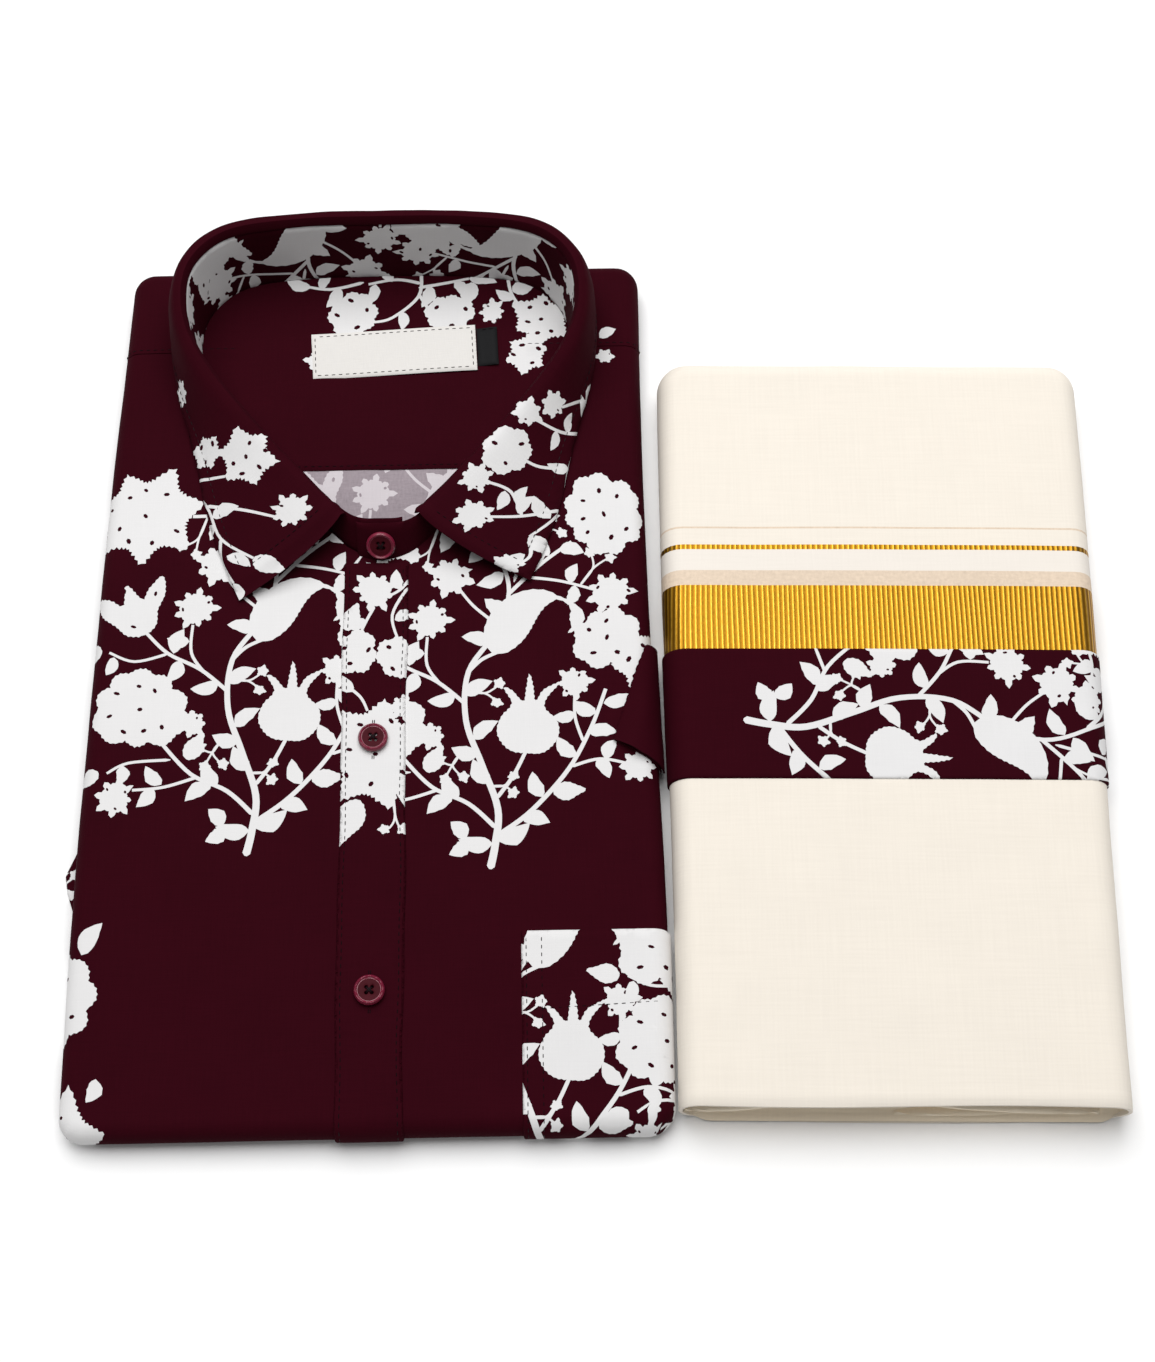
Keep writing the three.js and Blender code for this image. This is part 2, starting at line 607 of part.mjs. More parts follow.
// A fold of the inner cloth that bellies forward in the open end
function munduInnerFold({ z, sag, forward, halfWidth }) {
  const thick = 1;
  const radius = 1.4;
  const grid = between(-1, 1, 16).map((share) => {
    const hang = z + sag * (1 - share * share);
    const front = MUNDU_FRONT + CORE_RECESS - SEAM_GAP - thick / 2 - 0.2;
    const reach = forward * (1 - share ** 4);
    return between(0, 1, 6).map((turn) => {
      const angle = Math.PI * (turn - 0.5);
      return point(share * halfWidth, front - reach * Math.cos(angle) - 0.1, hang + radius * Math.sin(angle) * 1.2);
    });
  });
  return thicken(grid, thick);
}

function munduBand() {
  const columns = [
    ...munduPile.columns(0, -1, 4, PART_WRAP).reverse(),
    ...munduPile.columns(0, 1, 4, PART_WRAP).slice(1),
  ];
  return munduPile.sheet(columns, between(BAND.front, BAND.back, 3), -SEAM_GAP - BAND.thick, -SEAM_GAP);
}

const cloth = (color) => ({ color, roughness: 0.9, metalness: 0 });
const plastic = (color) => ({ color, roughness: 0.3, metalness: 0 });
const atShirt = new THREE.Matrix4().makeTranslation(SHIRT_AT.x, SHIRT_AT.y, 0);
const atMundu = new THREE.Matrix4()
  .makeTranslation(MUNDU_AT.x, MUNDU_AT.y, 0)
  .multiply(new THREE.Matrix4().makeRotationZ(radians(MUNDU_AT.turnDegrees)));

const group = new THREE.Group();
group.name = "shirt_and_mundu_set";
function add(name, geometry, look, at) {
  const mesh = new THREE.Mesh(geometry.applyMatrix4(at), new THREE.MeshStandardMaterial(look));
  mesh.name = name;
  group.add(mesh);
}

add("shirt_folded_layers", shirtFoldedLayers(), cloth(COLOURS.maroonShade), atShirt);
add("right_front", shirtFront(-1), cloth(COLOURS.maroon), atShirt);
add("left_front", shirtFront(1), cloth(COLOURS.maroon), atShirt);
add("outer_yoke", outerYoke(), cloth(COLOURS.maroon), atShirt);
add("inner_yoke", insideNeck(INNER_YOKE_SEAM_Y + SEAM_GAP / 2, 400), cloth(COLOURS.maroonShade), atShirt);
add("back_inside", insideNeck(-400, INNER_YOKE_SEAM_Y - SEAM_GAP / 2), cloth(COLOURS.reverse), atShirt);
add("collar_stand", collarStand(), cloth(COLOURS.maroonShade), atShirt);
add("collar_leaf", collarLeaf(), cloth(COLOURS.maroon), atShirt);
add("placket", placket(), cloth(COLOURS.maroon), atShirt);
add("pocket", pocket(), cloth(COLOURS.maroon), atShirt);
add("left_sleeve", leftSleeve(), cloth(COLOURS.maroon), atShirt);
add("right_sleeve", rightSleeve(), cloth(COLOURS.maroonShade), atShirt);
add("collar_button", collarButton(), plastic(COLOURS.button), atShirt);
add("upper_button", buttonOnPlacket(BUTTONS_Y.upper), plastic(COLOURS.button), atShirt);
add("lower_button", buttonOnPlacket(BUTTONS_Y.lower), plastic(COLOURS.button), atShirt);
add("neck_label", label(LABEL), cloth(COLOURS.label), atShirt);
add("size_tab", label(SIZE_TAB), cloth(COLOURS.tab), atShirt);

add("mundu_folded_layers", munduFoldedLayers(), cloth(COLOURS.creamShade), atMundu);
add("mundu_outer_layer", munduOuterLayer(), cloth(COLOURS.cream), atMundu);
add("mundu_under_layer", munduUnderLayer(), cloth(COLOURS.creamShade), atMundu);
INNER_FOLDS.forEach((fold) => add(fold.name, munduInnerFold(fold), cloth(COLOURS.creamShade), atMundu));
add("mundu_band", munduBand(), cloth(COLOURS.maroon), atMundu);

// The origin goes to the middle of the whole set's footprint, on the table
const bounds = new THREE.Box3().setFromObject(group);
const middle = bounds.getCenter(new THREE.Vector3());
group.children.forEach((mesh) => mesh.geometry.translate(-middle.x, -middle.y, -bounds.min.z));

export default group;
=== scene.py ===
"""Dresses a shirt folded flat, printed with flowering sprays, and the folded mundu beside it.

Cloth is laid out in its own two coordinates, in millimetres, across and along the piece, and then
placed on the folded pile. "left" and "right" are the wearer's, so the left front lies at +X.
"""
import math

import bpy
import numpy as np
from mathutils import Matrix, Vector
from mathutils.geometry import delaunay_2d_cdt


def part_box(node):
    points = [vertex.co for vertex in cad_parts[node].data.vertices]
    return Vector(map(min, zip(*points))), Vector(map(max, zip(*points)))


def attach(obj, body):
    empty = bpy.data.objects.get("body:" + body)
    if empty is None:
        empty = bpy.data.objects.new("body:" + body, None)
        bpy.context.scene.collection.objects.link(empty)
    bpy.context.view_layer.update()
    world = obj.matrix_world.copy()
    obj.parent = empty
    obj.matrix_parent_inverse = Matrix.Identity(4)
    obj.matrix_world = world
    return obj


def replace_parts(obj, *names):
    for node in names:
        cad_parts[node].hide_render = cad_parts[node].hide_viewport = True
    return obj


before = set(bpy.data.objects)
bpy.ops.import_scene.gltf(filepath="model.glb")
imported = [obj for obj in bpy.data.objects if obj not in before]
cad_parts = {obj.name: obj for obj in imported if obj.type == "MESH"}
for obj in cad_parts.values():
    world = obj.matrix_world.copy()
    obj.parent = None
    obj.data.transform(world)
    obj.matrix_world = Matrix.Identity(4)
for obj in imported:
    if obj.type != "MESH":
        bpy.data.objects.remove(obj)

bl_info = {
    "name": "Printed Shirt and Bordered Mundu",
    "version": (1, 0, 0),
    "blender": (4, 5, 0),
    "location": "3D View > Sidebar > Folded Set",
    "description": "Builds the cloth, sewing, print, stage and camera of a folded shirt and mundu",
    "category": "Add Mesh",
}

MM = 0.001
# Edges sharper than this stay crisp in the shading
SHARP_FROM = math.radians(50)

# The shirt's button line is x = 0 and its middle y = 0, found from the upper button in the frame
UPPER_BUTTON_AT = (-0.6, -29.5)
BUTTON_LOW, BUTTON_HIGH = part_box("upper_button")
SHIRT_ORIGIN = np.array([
    (BUTTON_LOW.x + BUTTON_HIGH.x) / 2 / MM - UPPER_BUTTON_AT[0],
    (BUTTON_LOW.y + BUTTON_HIGH.y) / 2 / MM - UPPER_BUTTON_AT[1],
    0.0,
])
MUNDU_ORIGIN = SHIRT_ORIGIN + (196.9, -21.5, 0.0)
MUNDU_TURN = math.radians(-1.4)

# How far each folded pile reaches to its two sides, and its height, at even steps front to back
SHIRT_SECTIONS = {
    "y": (-180, -90, 0, 90, 180),
    "left": (109, 109.4, 107.3, 106.3, 106.8),
    "right": (112.6, 112.8, 111, 108.4, 104.6),
    "height": (12.6, 14.4, 15.4, 16, 16.2),
}
MUNDU_SECTIONS = {
    "y": (-154, -51, 51, 154),
    "left": (81, 82.2, 83.8, 84.4),
    "right": (82.2, 83.6, 86.2, 87.4),
    "height": (19.6, 20.2, 20.2, 19.4),
}

# Seams and the pieces sewn on the shirt
YOKE_SEAM_Y = 143
INNER_YOKE_SEAM_Y = 90.6
SEAM_GAP = 0.3
PLACKET_X, PLACKET_WIDTH, PLACKET_TOP = -0.6, 25, 44.8
POCKET_X, POCKET_TOP, POCKET_HEM = 55, -106, 29
BUTTONS_Y = (-29.5, -128)
SEWN_THICK = 1.1
LABEL = {"x": 5, "y": 143.6, "width": 68, "depth": 21, "turn": 2.5}
SIZE_TAB = {"x": 43.6, "y": 145.6, "width": 8.6, "depth": 17.5, "turn": 2.5}

# The collar from the middle of the back to the middle of the front: its neck seam, its roll line
# and the leaf's free edge
COLLAR = {
    "seam_x": (0, 31, 58, 72.4, 76.8, 72.5, 56, 35, 13.5, 0),
    "seam_y": (180.6, 180, 176, 164, 148, 130, 105, 77.5, 53, 47.5),
    "roll_x": (0, 32.5, 61.5, 76, 78.8, 73, 56.2, 35, 13.5, 0),
    "roll_y": (184.8, 184.2, 179.8, 167, 148.5, 130.5, 107.5, 83, 61.5, 58),
    "roll_z": (48.5, 48.5, 48, 47, 45, 41, 36.5, 32.5, 30, 31),
    "edge_x": (0, 35.5, 67, 83, 86.4, 83, 76, 68, 55.5, 40),
    "edge_y": (197.4, 196.4, 190.6, 172, 146.5, 121, 94, 61, 29.5, 0),
    "edge_z": (10, 11, 15, 17.9, 17.9, 17.8, 17.7, 17.6, 17.6, 17.6),
}
COLLAR_SHIFT = 1.6
COLLAR_LAST, LEAF_END = 9, 8
LEFT_TIP = (3, 6.4)
STAND_THICK, STAND_KNEE_Z, STAND_BELOW_ROLL = 1.6, 15.5, 3
STAND_LAP_PLACES, STAND_LAP_APART = 0.74, 1.05
LEAF_THICK, LEAF_BOW, LEAF_SWELL, LEAF_STITCH_IN = 1.6, 1.2, 3, 6
ROLL_OUT, ROLL_RISE, ROLL_DROP = 2.2, 0.4, 2.65

# Bands woven into the mundu, from the back to the front, and the printed band sewn across it
MUNDU_BANDS = {
    "fine_line": (76.7, 75.9),
    "gold_line": (68.8, 66.7),
    "white": (66.7, 57.5),
    "beige": (57.5, 51),
    "zari": (51, 23.8),
}
STRIP_BACK, STRIP_FRONT = 23.8, -29.8
MUNDU_FRONT, MUNDU_BACK = -153.5, 154.5


def linear(hex_colour):
    """An sRGB hex colour as linear red, green, blue and alpha."""
    channels = [int(hex_colour[k:k + 2], 16) / 255 for k in (0, 2, 4)]
    return [c / 12.92 if c <= 0.04045 else ((c + 0.055) / 1.055) ** 2.4 for c in channels] + [1.0]


def smooth(values, place):
    """The value at a place among evenly spaced values, on a smooth curve through them."""
    values = np.asarray(values, float)
    last = len(values) - 1
    i = np.clip(np.floor(place).astype(int), 0, last - 1)
    t = place - i
    a, b, c, d = (values[np.clip(i + k, 0, last)] for k in (-1, 0, 1, 2))
    return b + 0.5 * t * (c - a + t * (2 * a - 5 * b + 4 * c - d + t * (3 * (b - c) + d - a)))


def ease(value, low, high):
    """0 below low, 1 above high, and a soft step between."""
    t = np.clip((value - low) / (high - low), 0, 1)
    return t * t * (3 - 2 * t)


def at_shirt(points):
    return (points + SHIRT_ORIGIN) * MM


def at_mundu(points):
    cos, sin = math.cos(MUNDU_TURN), math.sin(MUNDU_TURN)
    x, y, z = points.T
    return (np.stack([x * cos - y * sin, x * sin + y * cos, z], 1) + MUNDU_ORIGIN) * MM


class Pile:
    """A flat pile of folded cloth with soft rims, and the map from its cloth to its skin."""

    def __init__(self, sections, front, back, rim, corner, crown, open_front):
        self.sections, self.front, self.back = sections, front, back
        self.rim, self.corner, self.crown, self.open_front = rim, corner, crown, open_front
        self.flat = corner - rim
        self.middle = (front + back) / 2
        self.low = -1e9 if open_front else front + corner

    def across(self, y, column):
        rows = self.sections["y"]
        return smooth(self.sections[column], (y - rows[0]) / (rows[1] - rows[0]))

    def reach(self, y, side):
        level = np.clip(y, self.front + self.corner, self.back - self.corner)
        return np.where(side > 0, self.across(level, "left"), self.across(level, "right"))

    def height(self, x, y):
        share = np.abs(x) / self.reach(y, np.where(x < 0, -1, 1))
        return self.across(y, "height") + self.crown * (1 - np.minimum(1, share**2))

    def over(self, cloth):
        """Where a point lies past the flat, to a side and to an end."""
        u, v = cloth[:, 0], cloth[:, 1]
        side = np.where(u < 0, -1.0, 1.0)
        y = np.clip(v, self.low, self.back - self.corner)
        x = np.minimum(np.abs(u), self.reach(y, side) - self.corner)
        return side, x, y, np.abs(u) - x, np.abs(v - y)

    def angle(self, cloth):
        """How far round the rim a point is: 0 on the flat, pi underneath."""
        *_, over_side, over_end = self.over(cloth)
        over = np.maximum(over_side, over_end)
        return np.clip((over - self.flat) / self.rim, 0, np.pi)

    def showing(self, cloth):
        """1 on top, and 0 underneath, where creases lie flat on the table."""
        return 0.5 + 0.5 * np.cos(self.angle(cloth))

    def skin(self, cloth, lift):
        """The point on the pile for each point of its cloth, lifted off the outer skin."""
        side, x, y, over_side, over_end = self.over(cloth)
        end = np.where(cloth[:, 1] < self.middle, -1.0, 1.0)
        over = np.maximum(over_side, over_end)
        angle = self.angle(cloth)
        out = np.minimum(over, self.flat) + (self.rim + lift) * np.sin(angle)
        share = np.pi / 4 * np.minimum(over_side, over_end) / np.where(over > 0, over, 1)
        turn = np.where(over_side >= over_end, share, np.pi / 2 - share)
        top = self.height(side * x, y)
        drop = (top / 2 + lift) * (1 - np.cos(angle))
        px = side * (x + out * np.cos(turn))
        return np.stack([px, y + end * out * np.sin(turn), top + lift - drop], 1)

    def rim_u(self, v, side, degrees):
        """The cloth's own place across, that far round the rim at a side."""
        level = np.clip(v, self.low, self.back - self.corner)
        wrap = self.flat + np.radians(degrees) * self.rim
        return side * (self.reach(level, np.full(np.shape(v), side)) - self.corner + wrap)

    def rim_v(self, end, degrees):
        """The cloth's own place along, that far round the rim at an end."""
        start = self.back - self.corner if end > 0 else self.front + self.corner
        return start + end * (self.flat + math.radians(degrees) * self.rim)


shirt_pile = Pile(SHIRT_SECTIONS, -180.2, 184, 6.5, 9.5, 0.5, False)
mundu_pile = Pile(MUNDU_SECTIONS, MUNDU_FRONT, MUNDU_BACK, 8.5, 12, 0.5, True)


class Ribbon:
    """A strip of cloth through a fine grid of points, whose columns are evenly apart in each row.

    Its cloth coordinates are the way along it from its middle row, and across it from column 0.
    """

    def __init__(self, grid, mid_column=None):
        self.grid = grid
        self.last_row, self.last_column = grid.shape[0] - 1, grid.shape[1] - 1
        column = self.last_column // 2 if mid_column is None else mid_column
        steps = np.linalg.norm(np.diff(grid[:, column], axis=0), axis=1)
        along = np.concatenate([[0], np.cumsum(steps)])
        self.along = along - along[self.last_row // 2]
        self.wide = np.linalg.norm(np.diff(grid, axis=1), axis=2).sum(1)
        down, across = np.gradient(grid, axis=0), np.gradient(grid, axis=1)
        normal = np.cross(down, across)
        self.normal = normal / np.linalg.norm(normal, axis=2, keepdims=True)

    def width(self, s):
        return np.interp(s, self.along, self.wide)

    def at(self, table, cloth):
        i = np.interp(cloth[:, 0], self.along, np.arange(self.last_row + 1))
        j = np.clip(cloth[:, 1] / self.width(cloth[:, 0]), 0, 1) * self.last_column
        i0 = np.minimum(i.astype(int), self.last_row - 1)
        j0 = np.minimum(j.astype(int), self.last_column - 1)
        f, g = (i - i0)[:, None], (j - j0)[:, None]
        first = (1 - g) * table[i0, j0] + g * table[i0, j0 + 1]
        second = (1 - g) * table[i0 + 1, j0] + g * table[i0 + 1, j0 + 1]
        return (1 - f) * first + f * second

    def place(self, cloth, lift):
        return self.at(self.grid, cloth) + self.at(self.normal, cloth) * np.reshape(lift, (-1, 1))

    def outline(self, step=3.0):
        count = int((self.along[-1] - self.along[0]) / step)
        s = np.linspace(self.along[0], self.along[-1], count)
        far = np.stack([s, self.width(s)], 1)
        return np.concatenate([np.stack([s, 0 * s], 1), far[::-1]])


def evenly(points, count):
    """Points at even steps along a line of points."""
    steps = np.linalg.norm(np.diff(points, axis=0), axis=1)
    along = np.concatenate([[0], np.cumsum(steps)])
    places = np.linspace(0, along[-1], count)
    return np.stack([np.interp(places, along, points[:, k]) for k in range(points.shape[1])], 1)


def inside(outline, points):
    """Which points lie inside a closed outline."""
    found = np.zeros(len(points), bool)
    low, high = outline.min(0), outline.max(0)
    near = np.nonzero(((points >= low) & (points <= high)).all(1))[0]
    if len(near) == 0:
        return found
    x, y = points[near, 0][:, None], points[near, 1][:, None]
    ax, ay = outline.T
    bx, by = np.roll(outline, -1, axis=0).T
    crosses = (ay > y) != (by > y)
    rise = np.where(by == ay, 1e-12, by - ay)
    found[near] = (crosses & (x < ax + (y - ay) * (bx - ax) / rise)).sum(1) % 2 == 1
    return found


def edge_distance(line, points, closed=True):
    """How far each point is from a line of points."""
    starts = line if closed else line[:-1]
    ends = np.roll(line, -1, axis=0) if closed else line[1:]
    nearest = np.full(len(points), 1e9)
    for start, end in zip(starts, ends):
        way = end - start
        share = np.clip(((points - start) @ way) / max(way @ way, 1e-12), 0, 1)
        nearest = np.minimum(nearest, np.linalg.norm(points - start - share[:, None] * way, axis=1))
    return nearest


def divided(outline, longest):
    """A closed outline with more points on its long edges, so that they can bend."""
    points = []
    for start, end in zip(outline, np.roll(outline, -1, axis=0)):
        count = max(1, math.ceil(np.hypot(*(end - start)) / longest))
        points += [start + (end - start) * k / count for k in range(count)]
    return np.array(points)


def cut_cloth(outline, print_shapes=(), holes=(), across=None, along=None, step=2.5):
    """Cuts flat cloth to its outline, its holes and the edges of its print.

    Gives the points, the triangles, and the tone of each triangle: 0 ground, 1 printed.
    """
    outline = divided(outline, step)
    low, high = outline.min(0), outline.max(0)
    if across is None:
        across = np.arange(low[0] + step / 2, high[0], step)
    if along is None:
        along = np.arange(low[1] + step / 2, high[1], step)
    free = np.stack(np.meshgrid(across, along), -1).reshape(-1, 2)
    free = free[inside(outline, free)]
    shown = [
        (shape, tone) for shape, tone in print_shapes
        if (shape.max(0) > low).all() and (shape.min(0) < high).all()
    ]
    points, edges = [], []
    for loop in [outline, *holes, *(shape for shape, _ in shown)]:
        first, count = len(points), len(loop)
        points += [Vector(p) for p in loop]
        edges += [(first + k, first + (k + 1) % count) for k in range(count)]
    points += [Vector(p) for p in free]
    found, _, faces, *_ = delaunay_2d_cdt(points, edges, [], 0, 0.004, False)
    cloth = np.array([tuple(p) for p in found])
    triangles = np.array([tuple(f) for f in faces])
    middles = cloth[triangles].mean(1)
    kept = inside(outline, middles)
    for hole in holes:
        kept &= ~inside(hole, middles)
    triangles, middles = triangles[kept], middles[kept]
    tones = np.zeros(len(triangles), int)
    for shape, tone in shown:
        tones[inside(shape, middles)] = tone
    used, renumbered = np.unique(triangles, return_inverse=True)
    return cloth[used], renumbered.reshape(-1, 3), tones


def new_object(name, points, faces, materials, tones=None, cloth=None):
    """A mesh object on the frame's body, with its materials and its cloth coordinates as UVs."""
    mesh = bpy.data.meshes.new(name)
    mesh.from_pydata([tuple(p) for p in points], [], [tuple(f) for f in faces])
    for material in materials:
        mesh.materials.append(material)
    if tones is not None:
        mesh.polygons.foreach_set("material_index", np.asarray(tones, np.int32))
    mesh.polygons.foreach_set("use_smooth", np.full(len(mesh.polygons), True))
    if cloth is not None:
        layer = mesh.uv_layers.new(name="cloth")
        corners = np.zeros(len(mesh.loops), np.int32)
        mesh.loops.foreach_get("vertex_index", corners)
        layer.data.foreach_set("uv", cloth[corners].astype(np.float32).ravel())
    mesh.validate()
    mesh.update()
    mesh.set_sharp_from_angle(angle=SHARP_FROM)
    piece = bpy.data.objects.new(name, mesh)
    bpy.context.scene.collection.objects.link(piece)
    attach(piece, "root")
    return piece


def wound_alike(cloth, triangles):
    """The triangles, all wound counterclockwise on the flat cloth."""
    a, b, c = (cloth[triangles[:, k]] for k in range(3))
    turned = np.cross(b - a, c - a) < 0
    return np.where(turned[:, None], triangles[:, ::-1], triangles)


def closed_up(triangles, count):
    """The faces of a shell whose lower points follow its upper ones: two sides, and walls round the rim.

    Also gives, for each wall, the triangle it stands on.
    """
    edges = np.concatenate([triangles[:, [0, 1]], triangles[:, [1, 2]], triangles[:, [2, 0]]])
    _, where, times = np.unique(np.sort(edges, axis=1), axis=0, return_index=True, return_counts=True)
    lone = where[times == 1]
    start, end = edges[lone].T
    walls = np.stack([end, start, start + count, end + count], 1)
    sides = np.concatenate([triangles, triangles[:, ::-1] + count])
    return sides.tolist() + walls.tolist(), lone % len(triangles)


def shell(name, cut, upper, lower, materials, node=None, under_tone=None):
    """A thin shell of cloth between the places of its upper and lower sides.

    It takes the place of a node of the frame, where one is named.
    """
    cloth, triangles, tones = cut
    triangles = wound_alike(cloth, triangles)
    first, below = upper[triangles[0]], lower[triangles[0]]
    if np.cross(first[1] - first[0], first[2] - first[0]) @ (first.mean(0) - below.mean(0)) < 0:
        triangles = triangles[:, ::-1]
    faces, owners = closed_up(triangles, len(cloth))
    under = tones if under_tone is None else np.full(len(tones), under_tone)
    all_tones = np.concatenate([tones, under, tones[owners]])
    points = np.concatenate([upper, lower])
    piece = new_object(name, points, faces, materials, all_tones, np.concatenate([cloth, cloth]))
    if node:
        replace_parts(piece, node)
    return piece


def creased(cloth, creases):
    """How far creased cloth stands off: ridges above nought, troughs below it.

    A crease is its start, its end, how far its middle bows aside, its half width and its height.
    """
    lift = np.zeros(len(cloth))
    for u0, v0, u1, v1, bow, wide, high in creases:
        start, way = np.array([u0, v0], float), np.array([u1 - u0, v1 - v0], float)
        share = np.clip((cloth - start) @ way / (way @ way), 0, 1)
        aside = np.array([-way[1], way[0]]) / np.hypot(*way) * bow
        line = start + share[:, None] * way + (4 * share * (1 - share))[:, None] * aside
        off = np.linalg.norm(cloth - line, axis=1)
        lift += high * np.exp(-((off / wide) ** 2)) * np.sin(np.pi * np.clip(share, 0.04, 0.96)) ** 0.6
    return lift


def swell(cloth, depth, wave, turn=0.0):
    """A soft unevenness that cloth keeps when it is pressed and folded."""
    u, v = cloth[:, 0] / wave, cloth[:, 1] / wave
    first = np.sin(2.1 * u + 1.3 * v + turn) * np.cos(1.7 * v - 0.8 * u + 2 * turn)
    second = np.sin(4.3 * u - 3.1 * v + 3 * turn) * np.sin(3.7 * v + 1.9 * u + turn)
    return depth * (0.7 * first + 0.3 * second)


def rounded(distance, radius):
    """0 at an edge and 1 at a radius in from it, on a quarter circle."""
    return np.sqrt(np.clip(1 - (1 - np.clip(distance / radius, 0, 1)) ** 2, 0, 1))


def stitched(name, lines, place, material, length=2.2, gap=0.7, radius=0.16):
    """Rows of small stitches, sunk at their ends, along lines on the cloth."""
    points, faces = [], []
    for line in lines:
        steps = np.linalg.norm(np.diff(line, axis=0), axis=1)
        along = np.concatenate([[0], np.cumsum(steps)])
        starts = np.arange(gap / 2, along[-1] - length, length + gap)
        marks = np.stack([starts, starts + 0.28 * length, starts + 0.72 * length, starts + length], 1)
        cloth = np.stack([np.interp(marks.ravel(), along, line[:, k]) for k in (0, 1)], 1)
        low, high = place(cloth, 0 * cloth[:, 0]), place(cloth, 0 * cloth[:, 0] + 1)
        up = (high - low).reshape(-1, 4, 3)
        low = low.reshape(-1, 4, 3)
        for at, normal in zip(low, up):
            ahead = at[3] - at[0]
            side = np.cross(ahead, normal[1])
            side /= max(np.linalg.norm(side), 1e-12)
            first = len(points)
            size = radius * MM
            points.append(at[0] - normal[0] * 0.15)
            for k in (1, 2):
                middle = at[k] + normal[k] * 0.5 * radius
                rise = normal[k] * radius
                points += [middle + side * size, middle + rise, middle - side * size, middle - rise]
            points.append(at[3] - normal[3] * 0.15)
            for k in range(4):
                after = (k + 1) % 4
                faces.append((first, first + 1 + after, first + 1 + k))
                faces.append((first + 1 + k, first + 1 + after, first + 5 + after, first + 5 + k))
                faces.append((first + 9, first + 5 + k, first + 5 + after))
    return new_object(name, points, faces, [material])


# The print: shapes in millimetres, each an outline and a tone, 1 printed white and 0 left as ground

FLOWER_OUTLINES = {
    "pomegranate": (
        (0, 0), (0.22, 0.03), (0.37, 0.24), (0.34, 0.46), (0.17, 0.62), (0.2, 0.78), (0.34, 0.98),
        (0.14, 0.86), (0.05, 0.7), (0, 0.9), (-0.06, 1.06), (-0.08, 0.84), (-0.1, 0.68), (-0.26, 0.82),
        (-0.36, 0.84), (-0.24, 0.64), (-0.36, 0.44), (-0.38, 0.22), (-0.22, 0.03),
    ),
    "tulip": (
        (0, 0), (0.26, 0.1), (0.38, 0.36), (0.6, 0.6), (0.66, 0.92), (0.36, 0.78), (0.2, 0.64), (0.03, 1.0),
        (-0.14, 0.66), (-0.32, 0.84), (-0.58, 1.02), (-0.54, 0.62), (-0.38, 0.34), (-0.26, 0.1),
    ),
    "bud": (
        (0, 0), (0.25, 0.18), (0.32, 0.46), (0.17, 0.78), (0.03, 1.05), (-0.15, 0.78), (-0.29, 0.46),
        (-0.22, 0.16),
    ),
}


def ring(centre, radii, turn=0.0):
    """A closed outline about a centre, from its radius at even steps round."""
    radii = np.asarray(radii, float)
    angles = turn + np.linspace(0, 2 * np.pi, len(radii), endpoint=False)
    return np.asarray(centre) + radii[:, None] * np.stack([np.cos(angles), np.sin(angles)], 1)


def closed_curve(points, step):
    """A smooth closed outline through a few points."""
    points = np.asarray(points, float)
    count = len(points)
    wrapped = points[np.arange(-2, count + 3) % count]
    place = np.linspace(2, 2 + count, 12 * count + 1)
    dense = np.stack([smooth(wrapped[:, k], place) for k in (0, 1)], 1)
    length = np.linalg.norm(np.diff(dense, axis=0), axis=1).sum()
    return evenly(dense, max(10, int(length / step)))[:-1]


def ragged(rng, outline, tooth):
    """Gives an outline the small uneven teeth of a resist print."""
    ahead = np.roll(outline, -1, axis=0) - np.roll(outline, 1, axis=0)
    aside = np.stack([ahead[:, 1], -ahead[:, 0]], 1)
    aside /= np.maximum(np.linalg.norm(aside, axis=1, keepdims=True), 1e-9)
    out = np.where(np.arange(len(outline)) % 2, 0.8, -0.5) * (0.35 + 0.9 * rng.random(len(outline)))
    return outline + tooth * out[:, None] * aside


def seeds(rng, outline, count, size=1.0):
    """Dark seed dots in a loose ring inside a flower, and one in its middle."""
    middle = outline.mean(0)
    found = []
    for k in range(count):
        angle = 2 * math.pi * (k + 0.35 * rng.random()) / count
        way = np.array([math.cos(angle), math.sin(angle)])
        reach = ((outline - middle) @ way).max()
        away = (0.0 if k == 0 and count > 4 else 0.5 + 0.16 * rng.random()) * reach
        turn = rng.random() * math.pi
        long, wide = size * (0.8 + 0.35 * rng.random()), size * (0.55 + 0.2 * rng.random())
        angles = np.linspace(0, 2 * np.pi, 6, endpoint=False)
        x, y = long * np.cos(angles), wide * np.sin(angles)
        turned = np.stack([x * np.cos(turn) - y * np.sin(turn), x * np.sin(turn) + y * np.cos(turn)], 1)
        found.append((middle + away * way + turned, 0))
    return found


def flower(rng, kind, x, y, size, direction, tooth=0.3, count=0):
    """A flower drawn from a few points, its foot at x, y, facing the given way."""
    turn = math.radians(direction - 90)
    points = np.array(FLOWER_OUTLINES[kind]) * size
    outline = ragged(rng, closed_curve(points, 1.0), tooth)
    turned = outline @ np.array([[math.cos(turn), math.sin(turn)], [-math.sin(turn), math.cos(turn)]])
    placed = turned + (x, y)
    return [(placed, 1), *seeds(rng, placed, count, 1.1)]


